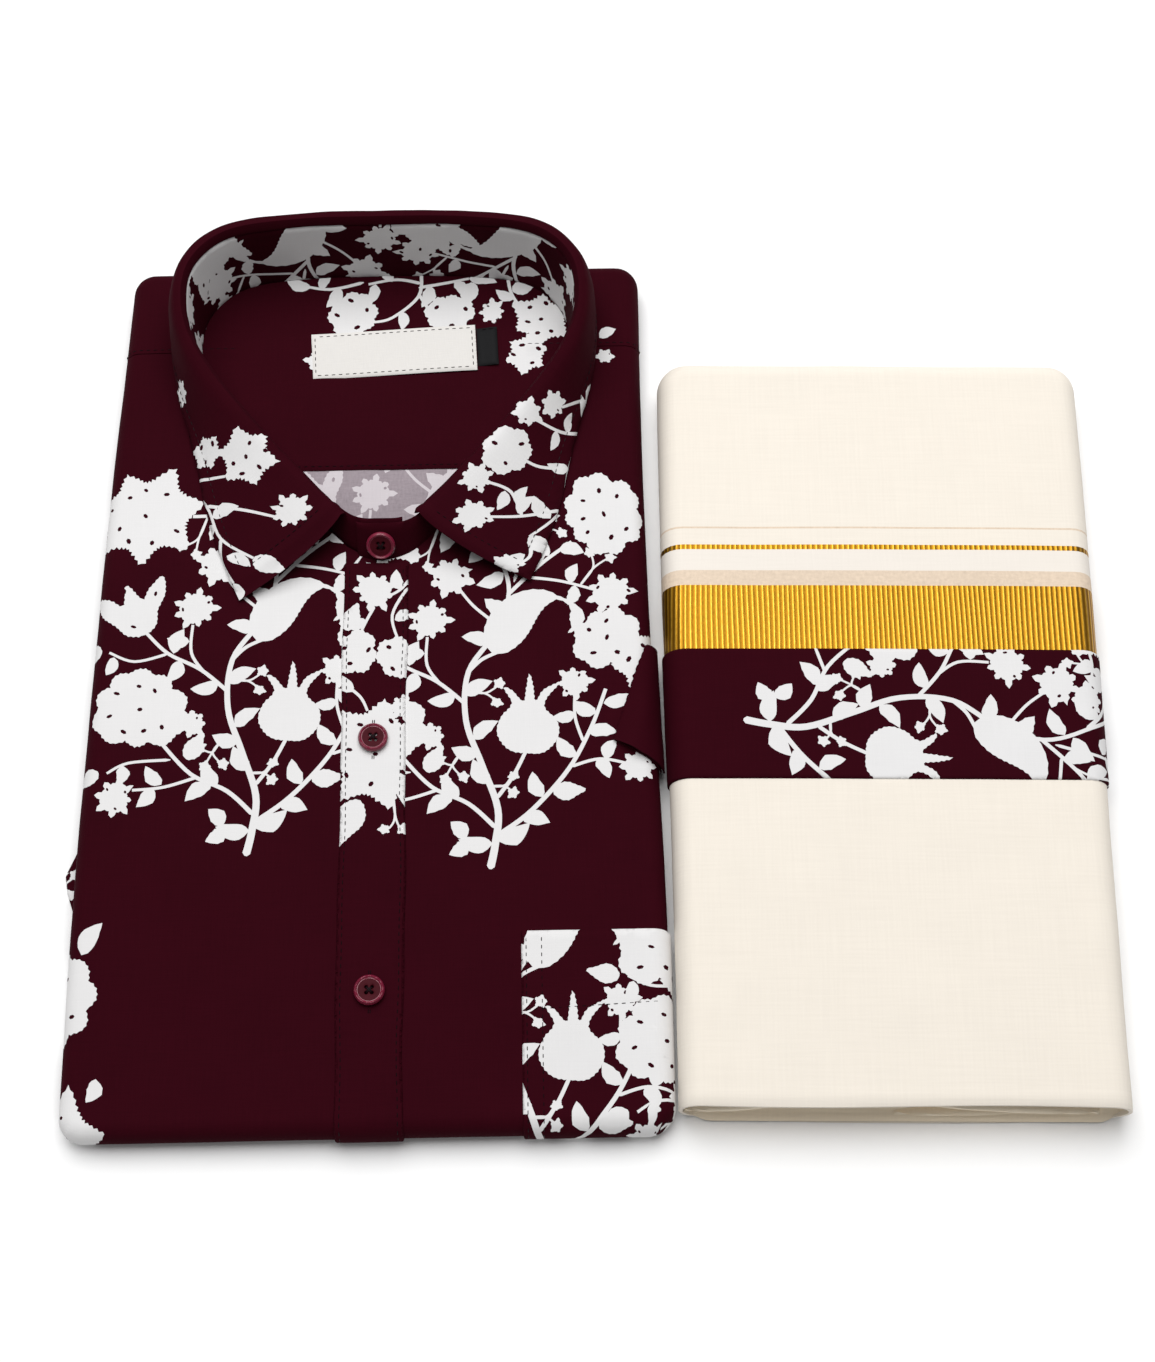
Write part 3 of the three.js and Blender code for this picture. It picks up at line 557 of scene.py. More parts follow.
def round_bloom(rng, x, y, radius, lobes, count, turn=0.0, depth=0.1, tooth=0.45):
    """A full flower with a toothed edge and seed dots: scalloped, or pointed where depth is negative."""
    steps = int(2 * math.pi * radius / 1.05)
    angles = np.arange(steps) / steps * 2 * np.pi
    bumps = np.abs(np.sin(lobes * angles / 2))
    radii = radius * (1 - depth * (1 - bumps) if depth > 0 else 1 + depth * bumps)
    uneven = rng.random(lobes + 1)
    uneven[-1] = uneven[0]
    radii *= 0.9 + 0.2 * np.interp(angles, np.linspace(0, 2 * np.pi, lobes + 1), uneven)
    radii *= 1 + 0.07 * np.sin(2 * angles + 6 * rng.random())
    outline = ragged(rng, ring((x, y), radii, turn), tooth)
    return [(outline, 1), *seeds(rng, outline, count, 1.3)]


def star_bloom(rng, x, y, radius, petals, turn=0.0, count=1):
    """A small open flower with pointed petals."""
    steps = petals * 6
    angles = np.arange(steps) / steps * 2 * np.pi
    uneven = np.interp(angles, np.linspace(0, 2 * np.pi, petals + 1), 0.8 + 0.4 * rng.random(petals + 1))
    radii = radius * uneven * (1 - 0.33 * np.abs(np.sin(petals * angles / 2)) ** 0.9)
    outline = ragged(rng, ring((x, y), radii, turn), 0.07 * radius)
    return [(outline, 1), *(seeds(rng, outline, count, radius * 0.1) if count else [])]


def leaf(rng, x, y, long, wide, direction, bend=0.15):
    """A lance leaf from its foot, bent aside."""
    t = np.linspace(0, 1, 9)
    turn = math.radians(direction)
    ahead, aside = np.array([math.cos(turn), math.sin(turn)]), np.array([-math.sin(turn), math.cos(turn)])
    middle = np.array([x, y]) + np.outer(t * long, ahead) + np.outer(bend * long * t * (1 - t) * 2, aside)
    half = wide / 2 * np.sin(np.pi * t**0.8) ** 0.85 * (1 + 0.22 * (rng.random(9) - 0.5))
    upper, lower = middle + half[:, None] * aside, middle - half[:, None] * aside
    return [(np.concatenate([upper, lower[-2:0:-1]]), 1)]


def curled_leaf(rng, x, y, long, wide, direction, curl):
    """A broad drop whose tip curls over."""
    t = np.linspace(0, 1, 40)
    turn = math.radians(direction) + math.radians(curl) * t**2.4
    step = long / (len(t) - 1)
    middle = np.array([x, y]) + np.cumsum(step * np.stack([np.cos(turn), np.sin(turn)], 1), axis=0)
    body = np.sin(np.pi * np.clip(t / 0.66, 0, 1) ** 0.7) ** 0.8
    tail = 0.15 * np.sqrt(np.clip(1 - t, 0, 1)) + 0.3 * np.exp(-(((t - 0.86) / 0.08) ** 2))
    half = wide / 2 * np.maximum(np.where(t < 0.66, body, 0), np.where(t > 0.25, tail, 0))
    aside = np.stack([-np.sin(turn), np.cos(turn)], 1)
    upper, lower = middle + half[:, None] * aside, middle - half[:, None] * aside
    return [(ragged(rng, np.concatenate([upper, lower[-2:0:-1]]), 0.3), 1)]


def stem(points, first=1.4, last=1.0):
    """A tapering stem along a smooth line through a few points."""
    points = np.array(points, float)
    place = np.linspace(0, len(points) - 1, 6 * (len(points) - 1) + 1)
    middle = np.stack([smooth(points[:, k], place) for k in (0, 1)], 1)
    way = np.gradient(middle, axis=0)
    aside = np.stack([-way[:, 1], way[:, 0]], 1) / np.linalg.norm(way, axis=1, keepdims=True)
    half = np.linspace(first, last, len(middle))[:, None] / 2
    half[0] *= 0.3
    return [(np.concatenate([middle + half * aside, (middle - half * aside)[::-1]]), 1)]


def berries(rng, points, ends):
    """Little star flowers at the ends of hair-thin stalks."""
    shapes = []
    before = np.array(points[-2], float)
    for x, y in ends:
        tip = np.array([x, y], float)
        bend = (tip + points[-1]) / 2 + 0.14 * (np.array(points[-1]) - before)
        shapes += stem([*points, bend, tip], 0.9, 0.7)
        shapes += star_bloom(rng, x, y, 2.5, 5, rng.random(), 0)
    return shapes


def flowering_spray():
    """One repeat of the print: a branching spray that grows from its foot at 0, 0 towards +y."""
    rng = np.random.default_rng(11)
    shapes = []
    for points, first, last in (
        ([(0, -4), (2, 6), (3, 20), (-3, 38), (-9, 56), (-8, 76), (2, 92), (8, 110), (3, 128), (-8, 146)],
         3, 1.3),
        ([(2.5, 12), (-8, 22), (-22, 29), (-34, 42)], 1.8, 1.4),
        ([(-19, 28), (-32, 24), (-44, 23)], 1.3, 1.1),
        ([(-8.5, 62), (-20, 72), (-33, 79), (-42, 88)], 1.6, 1.3),
        ([(-18, 70), (-24, 79), (-24, 91)], 1.3, 1.1),
        ([(4, 126), (-9, 137), (-26, 138)], 1.6, 1.4),
        ([(2.5, 9), (16, 19), (30, 35), (39, 52), (45, 68)], 2, 1.4),
        ([(2.5, 24), (9, 33), (14, 43)], 1.6, 1.4),
        ([(31, 36), (42, 39), (53, 37)], 1.3, 1.1),
        ([(36, 46), (33, 56), (33, 66)], 1.3, 1.1),
        ([(7, 108), (20, 121), (33, 131)], 1.6, 1.4),
        ([(15, 116), (28, 114), (42, 110)], 1.3, 1.1),
        ([(3, 96), (-6, 104), (-12, 112)], 1.3, 1.1),
        ([(-8, 76), (-3, 81), (3, 84)], 1.5, 1.4),
        ([(-30, 35), (-46, 34), (-54, 30)], 1.2, 1.0),
        ([(10, 114), (14, 130), (13, 142)], 1.3, 1.1),
        ([(-33, 79), (-46, 76), (-56, 80)], 1.2, 1.0),
    ):
        shapes += stem(points, first, last)
    shapes += round_bloom(rng, -43, 56, 18, 10, 8, 0.6, 0.12)
    shapes += round_bloom(rng, -45, 139, 23, 7, 9, 0.2, -0.3, 0.9)
    shapes += flower(rng, "tulip", -43, 87, 23, 112, 0.35, 3)
    shapes += flower(rng, "pomegranate", 14, 42, 31, 84, 0.3)
    shapes += curled_leaf(rng, 1, 82, 58, 17, 66, -215)
    shapes += round_bloom(rng, 46, 90, 13, 8, 5, 0.9, 0.14)
    shapes += round_bloom(rng, 61, 79, 14, 6, 5, 0.1, -0.25, 0.8)
    shapes += round_bloom(rng, 46, 143, 17.5, 11, 8, 1.9, 0.12)
    shapes += flower(rng, "tulip", -8, 145, 22, 98, 0.35, 2)
    for x, y, radius, petals, count in (
        (-50, 20, 7.5, 8, 3), (-23, 98, 8.5, 9, 2), (33, 71, 7.5, 8, 2), (48, 109, 9.5, 9, 3),
        (-15, 117, 9, 8, 2), (57, 36, 7, 8, 1), (-22, 50, 6, 7, 1),
    ):
        shapes += star_bloom(rng, x, y, radius, petals, rng.random(), count)
    for x, y, long, direction in (
        (13, 140, 15, 92), (-57, 30, 11, 200), (-24, 35, 12, 62), (-59, 80, 12, 170), (24, 26, 12, 5),
    ):
        shapes += flower(rng, "bud", x, y, long, direction, 0.2)
    for x, y, long, wide, direction, bend in (
        (1, 6, 13, 7, 172, 0.2), (-9, 8, 9, 6, 130, -0.2), (-8, 7, 9, 6, 215, 0.2),
        (3, 7, 14, 7, 30, -0.2), (-12, 24, 11, 6, 118, 0.2), (-14, 25, 12, 6, 215, -0.2),
        (-33, 25, 10, 5.5, 130, 0.2), (-36, 24, 10, 5.5, 232, 0.2), (0, 30, 12, 6.5, 122, 0.2),
        (-4, 42, 11, 6, 165, 0.2), (-6, 48, 12, 6, 38, 0.2), (-9, 66, 12, 6, 30, 0.2),
        (-13, 66, 11, 6, 190, 0.2), (-28, 76, 10, 6, 240, 0.2), (-31, 79, 11, 6, 70, 0.2),
        (-25, 84, 9, 5, 170, 0.2), (0, 88, 11, 6, 165, -0.2), (7, 102, 10, 6, 150, 0.2),
        (6, 118, 12, 6, 205, 0.2), (7, 121, 12, 6.5, 38, -0.2), (-2, 132, 11, 6, 238, 0.2),
        (-16, 138, 11, 6, 255, 0.2), (-13, 139, 10, 5, 80, 0.2), (12, 16, 11, 6, -12, 0.2),
        (20, 24, 11, 6, 110, 0.2), (33, 40, 11, 6, 130, 0.2), (38, 50, 11, 6, 0, 0.2),
        (41, 58, 10, 6, 150, 0.2), (44, 62, 11, 6, 20, -0.2), (41, 39, 9, 5.5, 300, 0.2),
        (44, 39, 9, 5.5, 60, 0.2), (33, 58, 9, 5, 190, 0.2), (15, 117, 10, 6, 80, 0.2),
        (24, 125, 11, 6, 118, 0.2), (28, 128, 10, 6, -10, 0.2), (32, 113, 9, 5, 70, 0.2),
        (34, 112, 9, 5, 250, 0.2), (13, 132, 9, 5, 150, 0.2), (13, 134, 9, 5, 30, 0.2),
        (-54, 78, 8, 5, 250, 0.2), (-48, 33, 8, 5, 260, 0.2),
    ):
        shapes += leaf(rng, x, y, long, wide, direction, bend)
    shapes += berries(rng, [(-5, 45), (-11, 42), (-14, 38)], [(-19, 40), (-17, 32), (-10, 33)])
    shapes += berries(rng, [(0, 29), (5, 29)], [(9, 26), (9, 33)])
    shapes += berries(rng, [(19, 120), (23, 128), (22, 136)], [(26, 142), (29, 135), (18, 143)])
    shapes += berries(rng, [(36, 112), (41, 119)], [(40, 126), (48, 124)])
    shapes += berries(rng, [(-20, 138), (-23, 129)], [(-24, 121), (-30, 125)])
    shapes += berries(rng, [(-8.5, 68), (-2, 67)], [(4, 71), (3, 63)])
    return shapes


def moved(shapes, x, y, turn=0.0, scale=1.0):
    """Shapes turned by degrees and set down at a place."""
    cos, sin = scale * math.cos(math.radians(turn)), scale * math.sin(math.radians(turn))
    spin = np.array([[cos, sin], [-sin, cos]])
    return [(outline @ spin + (x, y), tone) for outline, tone in shapes]


SPRAY = flowering_spray()


def sprays(*places):
    return [shape for place in places for shape in moved(SPRAY, *place)]


# The repeats on each cut piece: where the foot of a spray is, and how it is turned
RIGHT_FRONT_PRINT = sprays((-47.9, -71))
LEFT_FRONT_PRINT = sprays((43.7, -78))
POCKET_PRINT = sprays((58, -204), (150, -204))
STRIP_PRINT = sprays((-52, -6, -90), (40, 60, -90))
# The stand's two front ends, more than 200 mm round from the middle of the back, are left plain: their dark
# ground is a painted shade at the collar's front
STAND_PRINT = [
    shape for shape in sprays((66, 124, 178), (-26, 122, 181), (158, 122, 179), (-118, 124, 180))
    if np.abs(shape[0][:, 0]).max() < 200
]


def arranged(seed, stems, scalloped=(), pointed=(), stars=(), leaves=(), buds=()):
    """Print for a small piece, cut where the repeat shows other flowers than on the fronts."""
    rng = np.random.default_rng(seed)
    shapes = [shape for points in stems for shape in stem(points, 1.5, 1.1)]
    for x, y, radius, lobes, count in scalloped:
        shapes += round_bloom(rng, x, y, radius, lobes, count, rng.random(), 0.13)
    for x, y, radius, lobes, count in pointed:
        shapes += round_bloom(rng, x, y, radius, lobes, count, rng.random(), -0.28, 0.8)
    for x, y, radius, petals in stars:
        shapes += star_bloom(rng, x, y, radius, petals, rng.random())
    for x, y, long, direction in buds:
        shapes += flower(rng, "bud", x, y, long, direction, 0.2)
    for x, y, long, direction in leaves:
        shapes += leaf(rng, x, y, long, 0.5 * long, direction, 0.2)
    return shapes


NECK_PRINT = arranged(
    6,
    stems=[
        [(16, 182), (15, 170), (4, 160), (-4, 158)], [(15, 171), (20, 162), (24, 152)],
        [(16, 176), (6, 178), (-6, 176)], [(15, 174), (26, 176), (36, 178)],
        [(52, 182), (54, 170), (62, 158)], [(-8, 177), (-22, 174), (-34, 176)],
    ],
    scalloped=[(-12, 162, 10.5, 8, 4), (28, 162, 9.5, 8, 3)],
    pointed=[(66, 158, 13, 6, 6), (60, 142, 9.5, 6, 4)],
    stars=[(46, 162, 6, 8), (-26, 140, 6.5, 7)],
    leaves=[
        (-3, 176, 10, 250), (-18, 175, 11, 240), (-30, 175, 11, 160), (4, 177, 10, 110),
        (20, 175, 11, 250), (30, 177, 10, 300), (36, 178, 12, -10), (55, 168, 9, 150),
        (-26, 174, 9, 60), (8, 163, 9, 270),
    ],
    buds=[(38, 176, 12, 250), (54, 172, 11, 20)],
)
LEAF_PRINT = arranged(
    9,
    stems=[
        [(-138, 58), (-156, 50), (-172, 44), (-190, 40), (-206, 44), (-222, 40)],
        [(-172, 44), (-180, 34), (-186, 26)], [(-190, 40), (-202, 30), (-214, 22)],
        [(-206, 44), (-214, 50), (-226, 53)], [(-150, 53), (-150, 40), (-144, 28)],
        [(-64, 58), (-60, 44), (-50, 34), (-36, 30)], [(-60, 44), (-68, 34), (-78, 30)],
        [(24, 58), (30, 46), (42, 38)], [(30, 46), (24, 34), (14, 28)],
        [(112, 58), (124, 46), (140, 38), (158, 34), (176, 36), (194, 44), (212, 42)],
        [(140, 38), (148, 26), (158, 18)], [(176, 36), (184, 26), (186, 18)],
        [(194, 44), (206, 34), (214, 24)], [(158, 34), (166, 24), (170, 12)],
        [(206, 34), (200, 24), (202, 14)], [(112, 52), (104, 40), (94, 34)],
        [(212, 42), (220, 48), (228, 46)],
    ],
    scalloped=[(187, 12, 9.5, 7, 3), (-36, 27, 8, 7, 3)],
    pointed=[(-186, 14, 12.5, 6, 6), (-172, 26, 8, 6, 3), (44, 34, 8, 6, 3)],
    stars=[
        (170, 8, 6, 7), (203, 10, 6.5, 8), (-216, 16, 8, 9), (-80, 28, 7, 8), (216, 20, 8, 8),
        (160, 14, 6, 7), (228, 44, 6, 8), (12, 25, 6, 7), (-142, 24, 6, 8),
    ],
    leaves=[
        (-160, 49, 11, 60), (-164, 47, 11, 250), (-196, 41, 12, 250), (-200, 42, 11, 70),
        (-214, 47, 11, 200), (-150, 46, 10, 20), (-150, 38, 10, 170), (-58, 42, 11, 0),
        (-62, 40, 10, 140), (-48, 33, 10, 250), (28, 50, 11, 150), (36, 42, 10, 10),
        (22, 32, 9, 200), (132, 42, 11, 80), (150, 36, 12, 250), (166, 35, 11, 60),
        (186, 40, 11, 100), (200, 43, 12, 250), (206, 32, 10, 180), (146, 30, 9, 180),
        (106, 44, 10, 180), (164, 27, 9, 200), (167, 22, 9, 20), (203, 29, 9, 190),
        (201, 22, 9, 20), (176, 36, 10, -60), (120, 50, 10, 20), (220, 46, 11, -30),
        (-226, 53, 9, 150),
    ],
    buds=[(-222, 40, 13, 200), (94, 34, 12, 220), (212, 42, 12, 80), (-186, 40, 12, 90)],
)


def placket_print():
    """The front band is cut from another part of the print, so its flowers don't meet the fronts'."""
    rng = np.random.default_rng(4)
    shapes = round_bloom(rng, 0, -36, 22, 7, 7, 0.5, -0.3, 0.9)
    shapes += round_bloom(rng, -8, 7, 9, 7, 3, 0.2, 0.14) + round_bloom(rng, 8, 4, 8.5, 7, 3, 1.0, 0.14)
    shapes += star_bloom(rng, -1, 33, 9, 9, 0.3, 0) + star_bloom(rng, 11, -16, 6, 8, 0.1, 0)
    shapes += flower(rng, "bud", -6, -54, 18, 250, 0.3) + flower(rng, "bud", -12, 16, 12, 70, 0.2)
    for points in (
        [(-1, 26), (-4, 20), (-7, 13)], [(12, 34), (6, 22), (9, 10)], [(-13, -6), (-6, -12), (-3, -18)],
        [(13, -58), (8, -50), (6, -44)], [(13, 38), (9, 33), (4, 30)],
    ):
        shapes += stem(points, 1.3, 1.0)
    for x, y, long, wide, direction, bend in (
        (-4, 20, 9, 5, 190, 0.2), (7, 20, 9, 5, 20, 0.2), (10, -54, 9, 5, 60, 0.2), (-9, -10, 8, 5, 120, 0.2),
        (9, 33, 9, 5, 100, 0.2), (-12, -60, 13, 6, 262, 0.2),
    ):
        shapes += leaf(rng, x, y, long, wide, direction, bend)
    return shapes + berries(rng, [(6, -44), (8, -60)], [(4, -66), (11, -66)])


PLACKET_PRINT = placket_print()


def collar_line(place, part):
    """Points of the collar. Places run from the middle of the back, positive on the wearer's left,
    and past the middle of the front they go on along the other side."""
    passed = np.abs(place) > COLLAR_LAST
    at = np.where(passed, 2 * COLLAR_LAST - np.abs(place), np.abs(place))
    side = np.where(place < 0, -1.0, 1.0) * np.where(passed, -1.0, 1.0)
    x, y = smooth(COLLAR[part + "_x"], at), smooth(COLLAR[part + "_y"], at)
    z = neck_floor(y) if part == "seam" else smooth(COLLAR[part + "_z"], at)
    tip = np.where((part == "edge") & (side > 0), np.maximum(0, (at - 5) / 3) ** 2, 0)
    return np.stack([COLLAR_SHIFT + side * x + tip * LEFT_TIP[0], y + tip * LEFT_TIP[1], z], 1)


def neck_floor(y):
    """The cloth inside the neck slopes down from the back seam to the front."""
    return 8 + 0.048 * (y - 50)


def collar_outward(place):
    """The level way out from the neck."""
    along = collar_line(place + 0.05, "seam") - collar_line(place - 0.05, "seam")
    out = np.stack([-along[:, 1], along[:, 0], 0 * place], 1)
    return out / np.linalg.norm(out, axis=1, keepdims=True)


def neck_outline(outwards, count=54):
    place = np.linspace(-COLLAR_LAST, COLLAR_LAST, count, endpoint=False)
    return (collar_line(place, "seam") + outwards * collar_outward(place))[:, :2]


def collar_stand_ribbon():
    """The collar's upright band, which laps over itself at the front."""
    last = COLLAR_LAST + STAND_LAP_PLACES
    place = np.linspace(-last, last, 521)
    lap = STAND_LAP_APART * ease(np.abs(place), 6.6, 8.2) * np.sign(place)
    shift = collar_outward(place) * lap[:, None]
    seam = collar_line(place, "seam")
    foot = seam - (0, 0, 1.2)
    knee = seam * (1, 1, 0) + (0, 0, STAND_KNEE_Z)
    top = collar_line(place, "roll") - (0, 0, STAND_BELOW_ROLL)
    rows = np.stack([foot, knee, top], 1) + shift[:, None]
    return Ribbon(np.stack([evenly(row, 25) for row in rows]))


def collar_leaf_ribbon():
    """The collar's leaf, rolled over the top of the stand and falling to its free edge."""
    place = np.linspace(-LEAF_END, LEAF_END, 481)
    roll, edge = collar_line(place, "roll"), collar_line(place, "edge")
    out = (edge - roll) * (1, 1, 0)
    out /= np.linalg.norm(out, axis=1, keepdims=True)
    forward = np.stack([out[:, 1], -out[:, 0], 0 * place], 1) * np.where(place < 0, -1, 1)[:, None]
    near_end = LEAF_SWELL * np.maximum(0, np.abs(place) - LEAF_END + 1) ** 2
    quarter = np.linspace(0, np.pi / 2, 9)
    fall = np.linspace(0, 1, 41)[1:]
    rows = []
    for k in range(len(place)):
        aside, rise = ROLL_OUT * (1 - np.cos(quarter)), (ROLL_DROP + ROLL_RISE) * np.sin(quarter)
        rolled = roll[k] + np.outer(aside, out[k]) + np.outer(rise - ROLL_DROP, (0, 0, 1))
        first, last = rolled[-1], edge[k]
        second = first + 4.5 * out[k]
        third = first + 0.62 * (last - first) + 1.7 * LEAF_BOW * out[k]
        b = [(1 - fall) ** 3, 3 * fall * (1 - fall) ** 2, 3 * fall**2 * (1 - fall), fall**3]
        fell = sum(np.outer(w, p) for w, p in zip(b, (first, second, third, last)))
        fell += np.outer(near_end[k] * np.sin(np.pi * fall), forward[k])
        rows.append(evenly(np.concatenate([rolled, fell]), 61))
    return Ribbon(np.stack(rows), mid_column=34)


# Materials

def add_node(tree, kind, inputs=None, **settings):
    """Adds a shader node, makes its settings, and sets or links its inputs."""
    node = tree.nodes.new("ShaderNode" + kind)
    for name, value in settings.items():
        setattr(node, name, value)
    for name, value in (inputs or {}).items():
        if isinstance(value, bpy.types.NodeSocket):
            tree.links.new(value, node.inputs[name])
        else:
            node.inputs[name].default_value = value
    return node


def new_material(name):
    material = bpy.data.materials.new(name)
    material.use_nodes = True
    material.node_tree.nodes.clear()
    return material, material.node_tree


def finish_material(tree, inputs):
    shader = add_node(tree, "BsdfPrincipled", inputs)
    add_node(tree, "OutputMaterial", {"Surface": shader.outputs["BSDF"]})


def threads(tree, thread_mm, run_mm):
    """Two sets of uneven threads, crossing, as heights from 0 to 1."""
    cloth = add_node(tree, "UVMap", uv_map="cloth").outputs["UV"]
    heights = []
    for scale in ((1 / thread_mm, 1 / run_mm, 1), (1 / run_mm, 1 / thread_mm, 1)):
        stretched = add_node(tree, "VectorMath", {0: cloth, 1: scale}, operation="MULTIPLY")
        noise = add_node(tree, "TexNoise", {
            "Vector": stretched.outputs["Vector"], "Scale": 1.0, "Detail": 2.0, "Roughness": 0.55,
        })
        heights.append(noise.outputs["Fac"])
    return cloth, heights


def woven_cloth(name, colour, *, thread=0.5, run=14, contrast=0.12, relief=0.05, roughness=0.85,
                sheen=0.04, sheen_tint=None, mottled=0.08, specular=0.1):
    """Plain-woven cotton: matt, with a faint bloom at a low angle and uneven threads."""
    material, tree = new_material(name)
    cloth, (warp, weft) = threads(tree, thread, run)
    both = add_node(tree, "Math", {0: warp, 1: weft}, operation="ADD").outputs[0]
    broad = add_node(tree, "TexNoise", {"Vector": cloth, "Scale": 0.03, "Detail": 3.0})
    shade = add_node(tree, "Math", {0: broad.outputs["Fac"], 1: 2 * mottled, 2: 1 - mottled},
                     operation="MULTIPLY_ADD").outputs[0]
    # Darker where the threads lie low: partly the yarns' own uneven tone, partly painted shade between the
    # threads
    yarn_tone_and_painted_shade = add_node(tree, "Math", {0: both, 1: contrast, 2: 1 - contrast},
                            operation="MULTIPLY_ADD").outputs[0]
    value = add_node(tree, "Math", {0: shade, 1: yarn_tone_and_painted_shade}, operation="MULTIPLY").outputs[0]
    tinted = add_node(tree, "VectorMath", {0: colour[:3], "Scale": value}, operation="SCALE")
    bump = add_node(tree, "Bump", {"Height": both, "Strength": 0.6, "Distance": relief * MM})
    finish_material(tree, {
        "Base Color": tinted.outputs["Vector"], "Roughness": roughness, "Specular IOR Level": specular,
        "Sheen Weight": sheen, "Sheen Roughness": 0.5, "Sheen Tint": sheen_tint or (1, 1, 1, 1),
        "Normal": bump.outputs["Normal"],
    })
    return material


def gold_zari(name, dark, middle, light, rib_mm=2.0):
    """Metal-wrapped thread, woven in ribs that wander a little: a soft metallic glint.

    The ribs are as far apart as in the photo.
    """
    material, tree = new_material(name)
    cloth = add_node(tree, "UVMap", uv_map="cloth").outputs["UV"]
    slow = add_node(tree, "VectorMath", {0: cloth, 1: (0.03, 0.01, 1)}, operation="MULTIPLY")
    wander = add_node(tree, "TexNoise", {"Vector": slow.outputs["Vector"], "Scale": 1.0, "Detail": 1.0})
    across = add_node(tree, "SeparateXYZ", {0: cloth}).outputs["X"]
    shifted = add_node(tree, "Math", {0: wander.outputs["Fac"], 1: 3.0, 2: across},
                       operation="MULTIPLY_ADD").outputs[0]
    phase = add_node(tree, "Math", {0: shifted, 1: 2 * math.pi / rib_mm}, operation="MULTIPLY").outputs[0]
    wave = add_node(tree, "Math", {0: phase}, operation="SINE").outputs[0]
    fine = add_node(tree, "VectorMath", {0: cloth, 1: (2.2, 0.5, 1)}, operation="MULTIPLY")
    fleck = add_node(tree, "TexNoise", {"Vector": fine.outputs["Vector"], "Scale": 1.0, "Detail": 2.0})
    mixed = add_node(tree, "Math", {0: fleck.outputs["Fac"], 1: 0.9, 2: wave},
                     operation="MULTIPLY_ADD").outputs[0]
    shared = add_node(tree, "MapRange", {"Value": mixed, "From Min": -0.6, "From Max": 1.45})
    # The ramp paints shade in the troughs between the ribs and a highlight on their crests
    ramp = add_node(tree, "ValToRGB", {"Fac": shared.outputs["Result"]})
    stops = ramp.color_ramp.elements
    stops[0].position, stops[0].color = 0.0, dark
    stops[1].position, stops[1].color = 1.0, light
    stops.new(0.5).color = middle
    stops.new(0.78).color = middle
    bump = add_node(tree, "Bump", {"Height": mixed, "Strength": 0.5, "Distance": 0.15 * MM})
    finish_material(tree, {
        "Base Color": ramp.outputs["Color"], "Metallic": 0.9, "Roughness": 0.42,
        "Normal": bump.outputs["Normal"],
    })
    return material


def moulded_resin(name, colour, light, roughness=0.3, specular=0.4):
    """Polyester button resin, with faint clouding in the colour."""
    material, tree = new_material(name)
    place = add_node(tree, "TexCoord").outputs["Object"]
    cloud = add_node(tree, "TexNoise", {"Vector": place, "Scale": 260.0, "Detail": 3.0})
    mixed = add_node(tree, "Mix", {"Factor": cloud.outputs["Fac"], "A": colour, "B": light}, data_type="RGBA")
    finish_material(tree, {
        "Base Color": mixed.outputs["Result"], "Roughness": roughness, "IOR": 1.55,
        "Specular IOR Level": specular,
    })
    return material


def twisted_thread(name, colour):
    """Polyester sewing thread: a slight gloss along the twist."""
    material, tree = new_material(name)
    place = add_node(tree, "TexCoord").outputs["Object"]
    twist = add_node(tree, "TexNoise", {"Vector": place, "Scale": 3000.0, "Detail": 1.0})
    shade = add_node(tree, "MapRange", {"Value": twist.outputs["Fac"], "To Min": 0.8, "To Max": 1.15})
    tinted = add_node(tree, "VectorMath", {0: colour[:3], "Scale": shade.outputs["Result"]},
                      operation="SCALE")
    finish_material(tree, {
        "Base Color": tinted.outputs["Vector"], "Roughness": 0.6, "Specular IOR Level": 0.15,
    })
    return material


def colour_property(name, description, hex_colour):
    return bpy.props.FloatVectorProperty(
        name=name, description=description, subtype="COLOR", size=4, min=0, max=1,
        default=linear(hex_colour),
    )


class FoldedSetColours(bpy.types.PropertyGroup):
    """The colours of the cloth, trim and buttons."""

    ground: colour_property("Shirt ground", "Dyed cotton of the shirt", "30040f")
    print_white: colour_property("Print", "White pigment printed on the shirt", "dedddd")
    reverse: colour_property("Wrong side", "Back of the printed cloth", "9a8f95")
    reverse_print: colour_property("Wrong side print", "Print seen from behind", "cdc6ca")
    cream: colour_property("Mundu cream", "Unbleached cotton of the mundu", "eae2d6")
    # A warmer copy of the cream for the cotton between the layers: painted warm light
    cream_painted_warm_light: colour_property("Mundu inside", "The mundu's cotton between its layers", "f0e2cb")
    stripe_white: colour_property("White stripe", "Bleached stripe by the border", "e8e1d8")
    stripe_beige: colour_property("Beige stripe", "Fine-figured stripe by the border", "dcc9b4")
    gold: colour_property("Zari", "Gold thread of the border", "9c7014")
    # Painted shade between the zari's ribs, and a painted highlight on their crests
    gold_painted_shade: colour_property("Zari shade", "Between the ribs of gold thread", "80560c")
    gold_painted_highlight: colour_property("Zari light", "Crests of the ribs of gold thread", "d6a63c")
    # The buttons' rim resin, mixed lighter as a painted highlight; the dish takes a darker copy, a painted
    # shade
    button: colour_property("Buttons", "Resin of the shirt's buttons", "5c0e22")
    label: colour_property("Label", "Woven tape of the bare neck label", "dcd9d5")
    tab: colour_property("Size tab", "Woven tape of the bare size tab", "101012")


